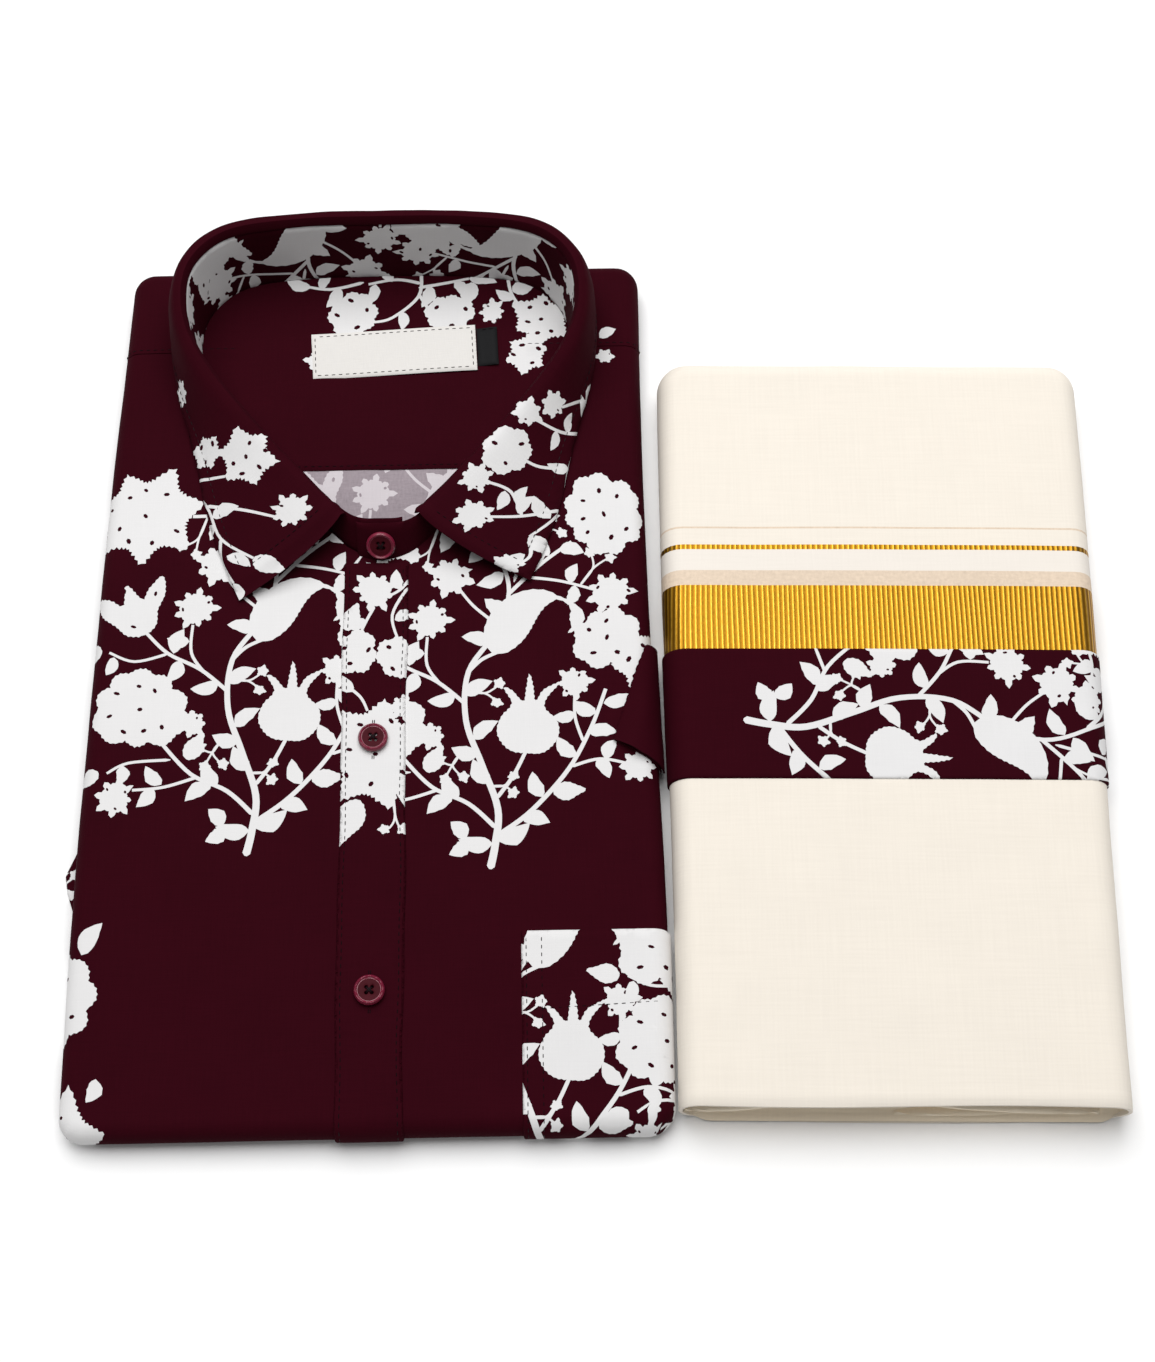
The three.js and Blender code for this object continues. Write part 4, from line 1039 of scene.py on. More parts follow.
class FoldedSetSizes(bpy.types.PropertyGroup):
    """Sizes that can be changed without moving the pieces off the folded piles."""

    cloth: bpy.props.FloatProperty(
        name="Cloth thickness", description="Thickness of a layer of cloth",
        default=0.5 * MM, min=0.2 * MM, max=1.0 * MM, precision=4, unit="LENGTH", subtype="DISTANCE",
    )
    crease: bpy.props.FloatProperty(
        name="Crease depth", description="How deep the creases are, as a share of the real ones",
        default=1.0, min=0, max=1.5, subtype="FACTOR",
    )
    stitch: bpy.props.FloatProperty(
        name="Stitch length", description="Length of a top stitch",
        default=2.2 * MM, min=1 * MM, max=4 * MM, precision=4, unit="LENGTH", subtype="DISTANCE",
    )


def colours():
    return bpy.context.scene.folded_set_colours


def sizes():
    return bpy.context.scene.folded_set_sizes


MATERIALS = {}


def material(name):
    """The set's materials, each made when it is first asked for."""
    tints = colours()
    makers = {
        # Combed poplin, dyed a deep maroon: matt and very fine, so only a faint thread shows
        "dyed_poplin": lambda n: woven_cloth(n, list(tints.ground), sheen=0.02, specular=0.04,
                                             sheen_tint=linear("b0405c"), contrast=0.22, mottled=0.1),
        # White pigment paste on the same poplin: a little flatter and chalkier than the dyed cloth
        "pigment_printed_poplin": lambda n: woven_cloth(n, list(tints.print_white), contrast=0.05,
                                                        mottled=0.03, sheen=0.05),
        # The poplin's wrong side: the dye strikes through unevenly, so it is speckled
        "poplin_wrong_side": lambda n: woven_cloth(n, list(tints.reverse), contrast=0.35, thread=0.8,
                                                   run=3, mottled=0.2),
        # The pigment seen through the cloth from behind, greyer than on the right side
        "poplin_wrong_side_print": lambda n: woven_cloth(n, list(tints.reverse_print), contrast=0.1),
        # Handloom cotton in its own cream: thicker uneven yarns, drawn 0.9 mm apart so that they show
        "handloom_cotton": lambda n: woven_cloth(n, list(tints.cream), thread=0.9, run=26, contrast=0.07,
                                                 mottled=0.02, relief=0.08),
        # The same cotton between its own layers, in a warmer copy of its cream: painted warm light, as where
        # light comes through cloth
        "handloom_cotton_inside": lambda n: woven_cloth(n, list(tints.cream_painted_warm_light), thread=0.9, run=26,
                                                        contrast=0.07, mottled=0.04, relief=0.08),
        # Bleached yarn beside the cream: a whiter stripe with the same uneven threads
        "bleached_cotton_stripe": lambda n: woven_cloth(n, list(tints.stripe_white), thread=0.9, run=20,
                                                        contrast=0.05, mottled=0.02),
        # Floats of yarn in a small figure, so the beige stripe looks broken up from near
        "figured_cotton_stripe": lambda n: woven_cloth(n, list(tints.stripe_beige), thread=1.1, run=2.2,
                                                       contrast=0.25, mottled=0.05, relief=0.12),
        # Gilt thread round a core: painted shade between its ribs, and a painted highlight along each crest
        "zari_thread": lambda n: gold_zari(n, list(tints.gold_painted_shade), list(tints.gold),
                                           list(tints.gold_painted_highlight)),
        # Polyester resin, polished on the rim by tumbling, so the rim catches the light; its colour, mixed
        # towards a lighter pink, is partly a painted highlight
        "button_resin": lambda n: moulded_resin(n, list(tints.button), linear("8a2340")),
        # The dish of the same button: matt, and a darker copy of the resin, a painted shade
        "button_resin_matt": lambda n: moulded_resin(n, linear("38060f"), linear("4c0c1a"), 0.6, 0.08),
        # Thread dyed a shade darker than the shirt, so that stitches show only from near
        "sewing_thread_maroon": lambda n: twisted_thread(n, linear("16040a")),
        # Damask label tape: a close satin weave with a soft gloss
        "satin_label_tape": lambda n: woven_cloth(n, list(tints.label), thread=0.6, run=5, contrast=0.06,
                                                  roughness=0.6, mottled=0.02),
        # Black taffeta tape, with a dull gloss and little of its weave showing
        "taffeta_tab_tape": lambda n: woven_cloth(n, list(tints.tab), thread=0.6, run=5, roughness=0.6),
    }
    if name not in MATERIALS:
        MATERIALS[name] = makers[name](name)
    return MATERIALS[name]


def poplin():
    return [material("dyed_poplin"), material("pigment_printed_poplin")]


FRONT_CREASES = (
    (-88, 118, -74, 20, 6, 16, 0.7), (-60, -20, -20, -120, -8, 13, -0.45), (-100, -60, -40, -92, 4, 11, 0.4),
    (-92, -140, -30, -150, 5, 9, -0.4), (-30, -100, -26, -172, 3, 8, 0.3), (90, 110, 70, 10, -6, 15, 0.6),
    (20, -20, 60, -96, 7, 12, -0.45), (30, -128, 52, -106, 3, 7, 0.5), (98, -30, 60, -70, -5, 12, 0.45),
    (22, -150, 50, -168, 3, 9, -0.3), (-104, 40, -60, 66, 5, 10, 0.35), (60, -60, 100, -96, -4, 9, 0.35),
)


def shirt_relief(cloth):
    share = sizes().crease * shirt_pile.showing(cloth)
    return share * (creased(cloth, FRONT_CREASES) + swell(cloth, 0.16, 26, 0.7))


def graded(low, high, step, fine_low=0.0, fine_high=0.0, fine=1.3):
    """Places from low to high, closer together near the ends that are asked for."""
    places, at = [], low + fine / 2
    while at < high - 0.3 * fine:
        places.append(at)
        close = at < low + fine_low or at > high - fine_high
        at += fine if close else step
    return np.array(places)


def cloth_area(cut):
    cloth, triangles, _ = cut
    a, b, c = (cloth[triangles[:, k]] for k in range(3))
    return float(np.abs(np.cross(b - a, c - a)).sum() / 2)


def stitches(name, lines, place):
    piece = stitched(name, lines, place, material("sewing_thread_maroon"), length=sizes().stitch / MM)
    return piece


def line(*points, step=4.0):
    """A line through the given points, with more between them."""
    points = np.array(points, float)
    count = max(2, int(np.linalg.norm(np.diff(points, axis=0), axis=1).sum() / step))
    return evenly(points, count)


def wrapping(pile, v, degrees):
    """The outline of cloth that wraps a pile to that far round both its sides."""
    left, right = (np.stack([pile.rim_u(v, side, degrees), v], 1) for side in (1, -1))
    return np.concatenate([left, right[::-1]])


def level(cloth, z):
    """Points of flat cloth at a height."""
    return np.stack([cloth[:, 0], cloth[:, 1], z + 0 * cloth[:, 0]], 1)


def polygon(corners, step):
    """A closed outline along straight sides, with points along each."""
    return np.concatenate([line(a, b, step=step)[:-1] for a, b in zip(corners, np.roll(corners, -1, axis=0))])


def on_shirt(cloth, lift):
    return at_shirt(shirt_pile.skin(cloth, lift + shirt_relief(cloth)))


def build_body():
    """The two fronts and the outer yoke, which wrap the folded pile to beneath its rims."""
    thick = sizes().cloth / MM
    hole = neck_outline(0.4)
    back_v, front_v = YOKE_SEAM_Y - SEAM_GAP / 2, shirt_pile.rim_v(-1, 180)
    rng = np.random.default_rng(5)
    extra = round_bloom(rng, -119, -128, 19, 9, 8, 0.4, 0.14) + leaf(rng, -107, -112, 14, 7, 60, 0.2)
    extra += round_bloom(rng, -114, -184, 21, 6, 6, 0.3, -0.3, 0.9) + leaf(rng, -99, -158, 9, 6, 250, 0.3)
    extra += leaf(rng, 84, 141, 10, 6, 60, 0.2) + star_bloom(rng, 92, 138, 4, 6)
    extra += leaf(rng, 90, 147, 8, 5, 30, 0.2)
    for name, node, side, shapes in (
        ("front_right", "right_front", -1, RIGHT_FRONT_PRINT),
        ("front_left", "left_front", 1, LEFT_FRONT_PRINT),
    ):
        v = np.linspace(back_v, front_v, 90)
        sides = np.stack([shirt_pile.rim_u(v, side, 180), v], 1)
        inner = PLACKET_X + side * SEAM_GAP / 2
        outline = np.concatenate([sides, [(inner, front_v), (inner, back_v)]])
        low, high = sorted((inner, side * 124))
        fine_low, fine_high = (0, 26) if side > 0 else (26, 0)
        cut = cut_cloth(outline, shapes + extra, [hole], graded(low, high, 2.8, fine_low, fine_high),
                        graded(front_v, back_v, 2.8, 26, 0))
        piece = shell(name, cut, on_shirt(cut[0], 0.0), on_shirt(cut[0], -thick), poplin(), node)
    v = np.linspace(YOKE_SEAM_Y + SEAM_GAP / 2, shirt_pile.rim_v(1, 180), 30)
    cut = cut_cloth(wrapping(shirt_pile, v, 180), extra, [hole],
                    graded(-123, 123, 2.8, 26, 26), graded(v[0], v[-1], 2.8, 0, 26))
    over = 0.16 * rounded(cut[0][:, 1] - v[0], 1.5) * shirt_pile.showing(cut[0])
    yoke = shell("yoke_outer", cut, on_shirt(cut[0], over), on_shirt(cut[0], -thick), poplin(), "outer_yoke")
    seams = [line((side * 112, YOKE_SEAM_Y + 1.6), (side * 60, YOKE_SEAM_Y + 1.6)) for side in (-1, 1)]
    sewn = stitches("yoke_stitching", seams, lambda c, h: on_shirt(c, h + 0.16))


def quarter_in(share):
    """How far a quarter circle has come in, from 0 at its start to 1 at its end."""
    return 1 - np.sqrt(np.clip(1 - share**2, 0, 1))


def plies(name, node, pile, low, high, count, front, inset, place, look,
          hole=None, hole_above=0.0):
    """One sheet folded into layers on each other in a pile, each with a rounded, uneven edge."""
    rng = np.random.default_rng(21)
    points, faces, area = [], [], 0.0
    step, apart = (high - low) / count, 0.08
    top = pile.across(np.array([0.0]), "height")[0]
    for k in range(count):
        z0, z1 = low + k * step + apart, low + (k + 1) * step - apart
        middle = (z0 + z1) / 2
        lean = np.clip((top / 2 - middle) / (top / 2 - inset), -1, 1)
        reach_in = inset + (pile.rim - inset) * quarter_in(lean) + rng.random() * 0.5
        back = pile.back - reach_in - 1.5
        v = np.concatenate([
            np.linspace(front, front + 10, 12), np.linspace(front + 16, back - 16, 30),
            np.linspace(back - 10, back, 12),
        ])
        narrow = reach_in + pile.corner * quarter_in(np.clip((v - v[-1]) / pile.corner + 1, 0, 1))
        if not pile.open_front:
            narrow = narrow + pile.corner * quarter_in(np.clip((v[0] - v) / pile.corner + 1, 0, 1))
        left = np.stack([pile.reach(v, np.ones(len(v))) - narrow, v], 1)
        right = np.stack([-(pile.reach(v, -np.ones(len(v))) - narrow), v], 1)
        outline = np.concatenate([left, right[::-1]])
        holes = [hole] if hole is not None and z1 > hole_above else []
        cut = cut_cloth(outline, (), holes, step=9)
        cloth, triangles, _ = cut
        area += cloth_area(cut)
        edge = rounded(edge_distance(outline, cloth), 1.2)
        wave = 0.15 * np.sin(cloth[:, 0] / 17 + k) * np.cos(cloth[:, 1] / 23 + 2 * k)
        half = (z1 - z0) / 2
        first = len(points)
        for way in (1, -1):
            points += list(place(level(cloth, middle + way * half * (0.15 + 0.85 * edge) + wave * edge)))
        layer_faces, _ = closed_up(wound_alike(cloth, triangles), len(cloth))
        faces += [[first + at for at in face] for face in layer_faces]
    piece = new_object(name, points, faces, [material(look)], cloth=np.array(points)[:, :2] / MM)
    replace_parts(piece, node)


def build_folded_layers():
    """The back, sides and tail folded under the fronts, as a pile of soft layers."""
    plies("folded_shirt_layers", "shirt_folded_layers", shirt_pile, 0.4, 12.2, 4, shirt_pile.front + 3.2,
          1.2, at_shirt, "dyed_poplin", neck_outline(2.4), 6.0)


def in_neck(cloth, lift):
    return at_shirt(level(cloth, neck_floor(cloth[:, 1]) + lift))


YOKE_CREASES = (
    (-40, 150, -20, 110, 4, 9, 0.5), (30, 128, 62, 120, 3, 8, -0.4), (-8, 112, 30, 100, -3, 7, 0.35),
)


def build_neck():
    """What shows inside the neck: the inner yoke with its bare label and size tab, and the back."""
    thick = sizes().cloth / MM
    outline = neck_outline(-0.9, 90)
    seam = INNER_YOKE_SEAM_Y
    width = np.abs(outline[np.abs(outline[:, 1] - seam) < 4][:, 0] - COLLAR_SHIFT).mean()
    ends = [(COLLAR_SHIFT - width, seam), (COLLAR_SHIFT + width, seam)]
    yoke_line = sorted_round(outline[outline[:, 1] > seam + 0.5], (COLLAR_SHIFT, 130))
    yoke_outline = np.concatenate([[ends[1]], yoke_line, [ends[0]]])
    cut = cut_cloth(yoke_outline, NECK_PRINT, step=2.2)
    edge = rounded(cut[0][:, 1] - seam, 1.0)
    relief = sizes().crease * (creased(cut[0], YOKE_CREASES) + swell(cut[0], 0.2, 18, 1.1))
    lift = relief * ease(cut[0][:, 1], seam, seam + 8) + 0.6 * edge - 0.2
    yoke = shell("yoke_inner", cut, in_neck(cut[0], lift), in_neck(cut[0], lift - thick), poplin(),
                 "inner_yoke")

    back_line = sorted_round(outline[outline[:, 1] < seam - 0.5], (COLLAR_SHIFT, 100), start=-np.pi)
    back_outline = np.concatenate([[(ends[0][0], seam + 2)], back_line, [(ends[1][0], seam + 2)]])
    cut_back = cut_cloth(back_outline, moved(SPRAY, 20, -18), step=2.2)
    lift_back = swell(cut_back[0], 0.25, 13, 0.3) - 0.5
    reverse = [material("poplin_wrong_side"), material("poplin_wrong_side_print")]
    back = shell("back_wrong_side", cut_back, in_neck(cut_back[0], lift_back),
                 in_neck(cut_back[0], lift_back - thick), reverse, "back_inside")

    pieces = []
    for name, node, at, tape, slot in (
        ("label_bare", "neck_label", LABEL, "satin_label_tape", "label_tape"),
        ("size_tab_bare", "size_tab", SIZE_TAB, "taffeta_tab_tape", "size_tab_tape"),
    ):
        half = np.array([at["width"], at["depth"]]) / 2
        tape_outline = polygon(np.array([(-1, -1), (1, -1), (1, 1), (-1, 1)]) * half, 1.5)
        tape_cut = cut_cloth(tape_outline, step=1.4)
        turn = math.radians(at["turn"])

        def laid(cloth, lift):
            x = at["x"] + cloth[:, 0] * math.cos(turn) - cloth[:, 1] * math.sin(turn)
            y = at["y"] + cloth[:, 0] * math.sin(turn) + cloth[:, 1] * math.cos(turn)
            bow = 0.35 * np.sin(cloth[:, 0] / half[0] * 2.2) + 0.5
            return in_neck(np.stack([x, y], 1), lift + bow)

        edge = rounded(edge_distance(tape_outline, tape_cut[0]), 0.7)
        top = laid(tape_cut[0], 0.35 + 0.45 * edge)
        piece = shell(name, tape_cut, top, laid(tape_cut[0], 0.25), [material(tape)], node)
        # The label is sewn all round, and the tab along its far edge only
        sewn_sides, inset = (range(4), 1.5) if at is LABEL else ((2,), 1.0)
        loop = np.array([(-1, -1), (1, -1), (1, 1), (-1, 1), (-1, -1)]) * (half - inset)
        sides = [line(loop[k], loop[k + 1]) for k in sewn_sides]
        sewn = stitches(name + "_stitching", sides, lambda c, h: laid(c, h + 0.8))
        pieces += [piece, sewn]
    seam_line = [line((ends[0][0], seam + 1.6), (ends[1][0], seam + 1.6))]
    sewn = stitches("yoke_inner_stitching", seam_line, lambda c, h: in_neck(c, h + 0.42))


def sorted_round(points, centre, start=-0.5 * np.pi):
    """Points in order of their angle about a centre."""
    angle = np.arctan2(points[:, 1] - centre[1], points[:, 0] - centre[0])
    return points[np.argsort((angle - start) % (2 * np.pi))]


def build_collar():
    """The collar's stand and its leaf, with their top stitching."""
    stand = collar_stand_ribbon()
    outline = stand.outline()
    cut = cut_cloth(outline, STAND_PRINT, step=2.2)
    edge = rounded(edge_distance(outline, cut[0]), 0.9)
    half = STAND_THICK / 2 * (0.25 + 0.75 * edge)
    relief = swell(cut[0], 0.12, 12, 0.5)
    piece = shell("collar_band", cut, at_shirt(stand.place(cut[0], relief + half)),
                  at_shirt(stand.place(cut[0], relief - half)), poplin(), "collar_stand")

    leaf_cloth = collar_leaf_ribbon()
    outline = leaf_cloth.outline()
    s_end = leaf_cloth.along[-1]
    cut = cut_cloth(outline, LEAF_PRINT, step=2.2)
    cloth = cut[0]
    free = np.minimum(leaf_cloth.width(cloth[:, 0]) - cloth[:, 1], s_end - np.abs(cloth[:, 0]))
    edge = rounded(free, 0.9)
    trough = -0.28 * np.exp(-(((free - LEAF_STITCH_IN) / 0.7) ** 2))
    puff = 0.35 * np.exp(-(((free - 3) / 2.2) ** 2))
    relief = trough + puff + swell(cloth, 0.18, 14, 0.2)
    half = LEAF_THICK / 2 * (0.2 + 0.8 * edge)

    def on_leaf(points, lift):
        return at_shirt(leaf_cloth.place(points, lift))

    sign = 1 if leaf_cloth.normal[leaf_cloth.last_row // 2, leaf_cloth.last_column, 1] > 0 else -1
    piece = shell("collar_fall", cut, on_leaf(cloth, sign * (half + relief)), on_leaf(cloth, -sign * half),
                  poplin(), "collar_leaf")
    s = np.linspace(-s_end + LEAF_STITCH_IN, s_end - LEAF_STITCH_IN, 160)
    edge_line = np.stack([s, leaf_cloth.width(s) - LEAF_STITCH_IN], 1)
    ends = [line((at, 8), (at, leaf_cloth.width(at) - LEAF_STITCH_IN)) for at in (s[0], s[-1])]
    sewn = stitches("collar_stitching", [edge_line, *ends], lambda c, h: on_leaf(c, sign * (h + 0.72)))


def build_placket_and_pocket():
    """The front band with its edge stitching, and the chest pocket that runs on round the folds."""

    def sewn_piece(name, node, outline, shapes, across, along, seams, open_edges):
        """A piece with a turned-in edge that puckers, and a trough along each seam."""
        cut = cut_cloth(outline, shapes, (), across, along)
        cloth = cut[0]
        away = edge_distance(open_edges, cloth, closed=False)
        relief = sum(-0.22 * np.exp(-((edge_distance(s, cloth, closed=False) / 0.6) ** 2)) for s in seams)
        puckers = 0.1 * np.sin(cloth[:, 1] / 1.1 + 2 * np.sin(cloth[:, 1] / 7))
        relief = relief + puckers * np.exp(-(away / 2.5) ** 2)
        top = foot + SEWN_THICK * rounded(away, 0.9) + relief * shirt_pile.showing(cloth)
        piece = shell(name, cut, on_shirt(cloth, top), on_shirt(cloth, 0 * top + 0.05), poplin(), node)
        sewn = stitches(name + "_stitching", seams, lambda c, h: on_shirt(c, h + foot + SEWN_THICK - 0.16))

    # How far the sewn-on pieces stand off the front beneath them
    foot = SEAM_GAP * 0.3
    half = PLACKET_WIDTH / 2
    low = shirt_pile.rim_v(-1, 138)
    left, right = PLACKET_X + half, PLACKET_X - half
    v = np.linspace(low, PLACKET_TOP, 80)
    wander = 0.35 * np.sin(v / 19) + 0.2 * np.sin(v / 7.3)
    left_edge = np.stack([left + wander, v], 1)
    right_edge = np.stack([right + 0.8 * wander[::-1], v], 1)
    outline = np.concatenate([left_edge, right_edge[::-1]])
    steps = np.array([0.2, 0.45, 0.9, 1.5, 2, 2.6, 4, 6, 8.5, 11])
    across = np.concatenate([right + steps, left - steps])
    lines = [np.stack([left_edge[:, 0] - 2, v], 1), np.stack([right_edge[:, 0] + 2, v], 1)]
    open_edges = np.concatenate([left_edge[::-1], [left_edge[0], right_edge[0]], right_edge])
    sewn_piece("button_band", "placket", outline, PLACKET_PRINT, across,
               graded(low, PLACKET_TOP, 2, 22, 0), lines, open_edges)

    v = np.linspace(low, POCKET_TOP, 40)
    far = np.stack([shirt_pile.rim_u(v, 1, 138), v], 1)
    top_edge = np.stack([np.linspace(POCKET_X, far[-1, 0], 40), np.full(40, POCKET_TOP)], 1)
    near = np.stack([np.full(40, POCKET_X), v], 1)
    outline = np.concatenate([near, top_edge[1:-1], far[::-1]])
    across = np.concatenate([POCKET_X + steps[:7], graded(POCKET_X + 5, far[0, 0] + 2, 2.2, 0, 26)])
    hem_v = POCKET_TOP - POCKET_HEM
    lines = [
        np.stack([near[:, 0] + 1.8, v], 1), np.stack([near[:, 0] + 7.5, v], 1),
        line((POCKET_X + 1, hem_v - 1), (far[:, 0].max() - 12, hem_v + 1.5)),
    ]
    sewn_piece("chest_pocket", "pocket", outline, POCKET_PRINT, across,
               graded(low, POCKET_TOP, 2.2, 24, 0), lines, np.concatenate([near, top_edge]))


def build_sleeves():
    """The left sleeve's hem corner, folded over the front, and the right one's, beneath the side."""
    depth_low, depth_high = 0.85, 2.1
    rows, columns = 61, 81
    grid = np.zeros((rows, columns, 3))
    for i, down in enumerate(np.linspace(0, 1, rows)):
        fold_u, fold_v = 104.6 + (91.5 - 104.6) * down, 8 + (-31.5 - 8) * down
        side = shirt_pile.reach(np.array([fold_v]), np.ones(1))[0] - shirt_pile.corner
        side += shirt_pile.flat + math.radians(96) * shirt_pile.rim
        share = np.linspace(-1, 1, columns)
        away = np.abs(share)
        u = fold_u + (side - fold_u) * away - 0.6 * (1 - ease(away, 0, 0.08))
        v = fold_v - 0.6 * down * np.minimum(away * (side - fold_u), 18)
        gape = 2.2 * down**2 * np.sin(np.pi * np.minimum(1, away * 1.5)) ** 2
        top = ease(share, -0.07, 0.07)
        lift = depth_low + (depth_high - depth_low + gape) * top
        grid[i] = shirt_pile.skin(np.stack([u, v], 1), lift)
    ribbon = Ribbon(np.stack([evenly(row, columns) for row in grid]))
    cut = cut_cloth(ribbon.outline(2.0), step=1.2)
    relief = swell(cut[0], 0.1, 9, 0.9)
    piece = shell("sleeve_left", cut, at_shirt(ribbon.place(cut[0], relief + 0.3)),
                  at_shirt(ribbon.place(cut[0], relief - 0.3)), [material("dyed_poplin")], "left_sleeve")

    corners = [(-88, -54), (-110.5, -59), (-118, -77), (-116.8, -84), (-111, -101), (-88, -104)]
    outline = polygon(np.array(corners, float), 2)
    cut = cut_cloth(outline, moved(SPRAY, -118, -148), step=1.6)
    edge = rounded(edge_distance(outline, cut[0]), 1.1)
    top = 0.8 + 1.2 * edge + swell(cut[0], 0.15, 6, 0.4) * edge
    piece = shell("sleeve_right", cut, at_shirt(level(cut[0], top)), at_shirt(level(cut[0], 0.15)), poplin(),
                  "right_sleeve")


def button_mesh(name, place_at):
    """A turned button with a raised rim and four holes, and its crossed thread."""
    rim, outer = 4.4, 5.7
    holes = [ring((1.5 * math.cos(a), 1.5 * math.sin(a)), np.full(14, 0.72))
             for a in np.radians((45, 135, 225, 315))]
    # Inside 4.2 mm the dish takes the darker resin, a painted shade; the rim round it takes the lighter one,
    # a painted highlight
    inner = [(ring((0, 0), np.full(56, r)), int(r < 4.3)) for r in (5.45, 5.1, 4.75, 4.45, 4.2, 3.6)]
    cut = cut_cloth(ring((0, 0), np.full(64, outer)), inner, holes, step=0.55)
    cloth = cut[0]
    r = np.linalg.norm(cloth, axis=1)
    dish = 1.75 - 0.12 * (1 - (r / rim) ** 2)
    crest = 2.4 - 1.5 * ((r - 5.0) / 0.72) ** 2
    top = np.where(r < rim, dish, np.maximum(crest, 1.75 - 0.9 * np.clip(r - 5.3, 0, 1)))
    hole_edge = np.min([edge_distance(h, cloth) for h in holes], axis=0)
    top = top - 0.18 * (1 - ease(hole_edge, 0, 0.3)) * (r < rim)
    base = np.where(r > 5.2, 0.9 * ((r - 5.2) / 0.5) ** 2, 0)
    button = shell(name, cut, place_at(level(cloth, top)), place_at(level(cloth, base)),
                   [material("button_resin"), material("button_resin_matt")])

    # Two pairs of threads cross the button from hole to hole, each a bent tube
    points, faces, rows, sides = [], [], 9, 6
    for a, b in ((45, 225), (135, 315)):
        for shift in (-0.22, 0.22):
            ends = [1.5 * np.array([math.cos(math.radians(t)), math.sin(math.radians(t))]) for t in (a, b)]
            way = (ends[1] - ends[0]) / 3.0
            aside = np.array([-way[1], way[0]]) * shift
            for k, t in enumerate(np.linspace(0, 1, rows)):
                centre = ends[0] + (ends[1] - ends[0]) * t + aside
                z = 1.5 + 0.75 * math.sin(math.pi * t) ** 0.5 + (0.18 if a == 135 else 0)
                for turn in range(sides):
                    angle = turn * 2 * math.pi / sides
                    off = 0.2 * np.array([-way[1], way[0]]) * math.cos(angle)
                    points.append((centre[0] + off[0], centre[1] + off[1], z + 0.2 * math.sin(angle)))
                    if k:
                        here = len(points) - 1
                        after = here - turn + (turn + 1) % sides
                        faces.append((here, after, after - sides, here - sides))
            last = len(points)
            faces.append(tuple(range(last - rows * sides, last - (rows - 1) * sides)))
            faces.append(tuple(reversed(range(last - sides, last))))
    thread = new_object(name + "_thread", place_at(np.array(points)), faces,
                        [material("sewing_thread_maroon")])
    return button


def build_buttons():
    """Two buttons down the band and one on the collar's band, each sewn on with thread."""
    for name, node, y in zip(("button_upper", "button_lower"), ("upper_button", "lower_button"), BUTTONS_Y):
        low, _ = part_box(node)

        def on_band(points):
            return at_shirt(points + (PLACKET_X, y, low.z / MM))

        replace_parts(button_mesh(name, on_band), node)
        slit = [line((PLACKET_X + way * 0.35, y - 9), (PLACKET_X + way * 0.35, y + 9)) for way in (-1, 1)]
        stitches(name + "_buttonhole", slit, lambda c, h: on_shirt(c, h + SEWN_THICK + 0.12))
    low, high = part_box("collar_button")
    middle = np.array((low + high) / 2) / MM
    # The collar's button lies flat on the stand, which leans back from its seam at the front
    back = COLLAR["roll_y"][-1] - COLLAR["seam_y"][-1]
    rise = COLLAR["roll_z"][-1] - STAND_BELOW_ROLL - STAND_KNEE_Z
    up = np.array([0, back, rise]) / math.hypot(back, rise)
    facing = np.array([0, -up[2], up[1]])

    def on_stand(points):
        turned = (points - (0, 0, 1.2)) @ np.stack([(1, 0, 0), up, facing])
        return (turned + middle) * MM

    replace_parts(button_mesh("button_collar", on_stand), "collar_button")


MUNDU_CREASES = (
    (-60, 120, -52, 84, 3, 14, -0.4), (30, 140, 44, 90, -4, 15, 0.45), (-70, -60, -20, -80, 4, 14, 0.4),
    (10, -70, 60, -58, 4, 12, -0.35), (-40, -110, 40, -118, 3, 13, 0.4), (60, -90, 74, -140, 3, 10, -0.4),
    (-62, -100, -74, -146, -3, 9, 0.35),
)


def mundu_relief(cloth):
    share = sizes().crease * mundu_pile.showing(cloth)
    return share * (creased(cloth, MUNDU_CREASES) + swell(cloth, 0.22, 30, 2.2))


def on_mundu(cloth, lift):
    """On the mundu's skin, whose free front edge is rolled down a little."""
    placed = mundu_pile.skin(cloth, lift + mundu_relief(cloth))
    near = np.clip(1 - (cloth[:, 1] - MUNDU_FRONT) / 4, 0, 1)
    flat = mundu_pile.showing(cloth)
    placed[:, 2] -= (1.1 * near**2 + 0.25 * np.exp(-(((cloth[:, 1] - MUNDU_FRONT - 7) / 1.1) ** 2))) * flat
    placed[:, 1] += 0.5 * np.sin(cloth[:, 0] / 23) * near * flat
    return at_mundu(placed)


def mundu_outline(low, high, degrees, count=110):
    v = np.linspace(low, high, count)
    return wrapping(mundu_pile, v, degrees)


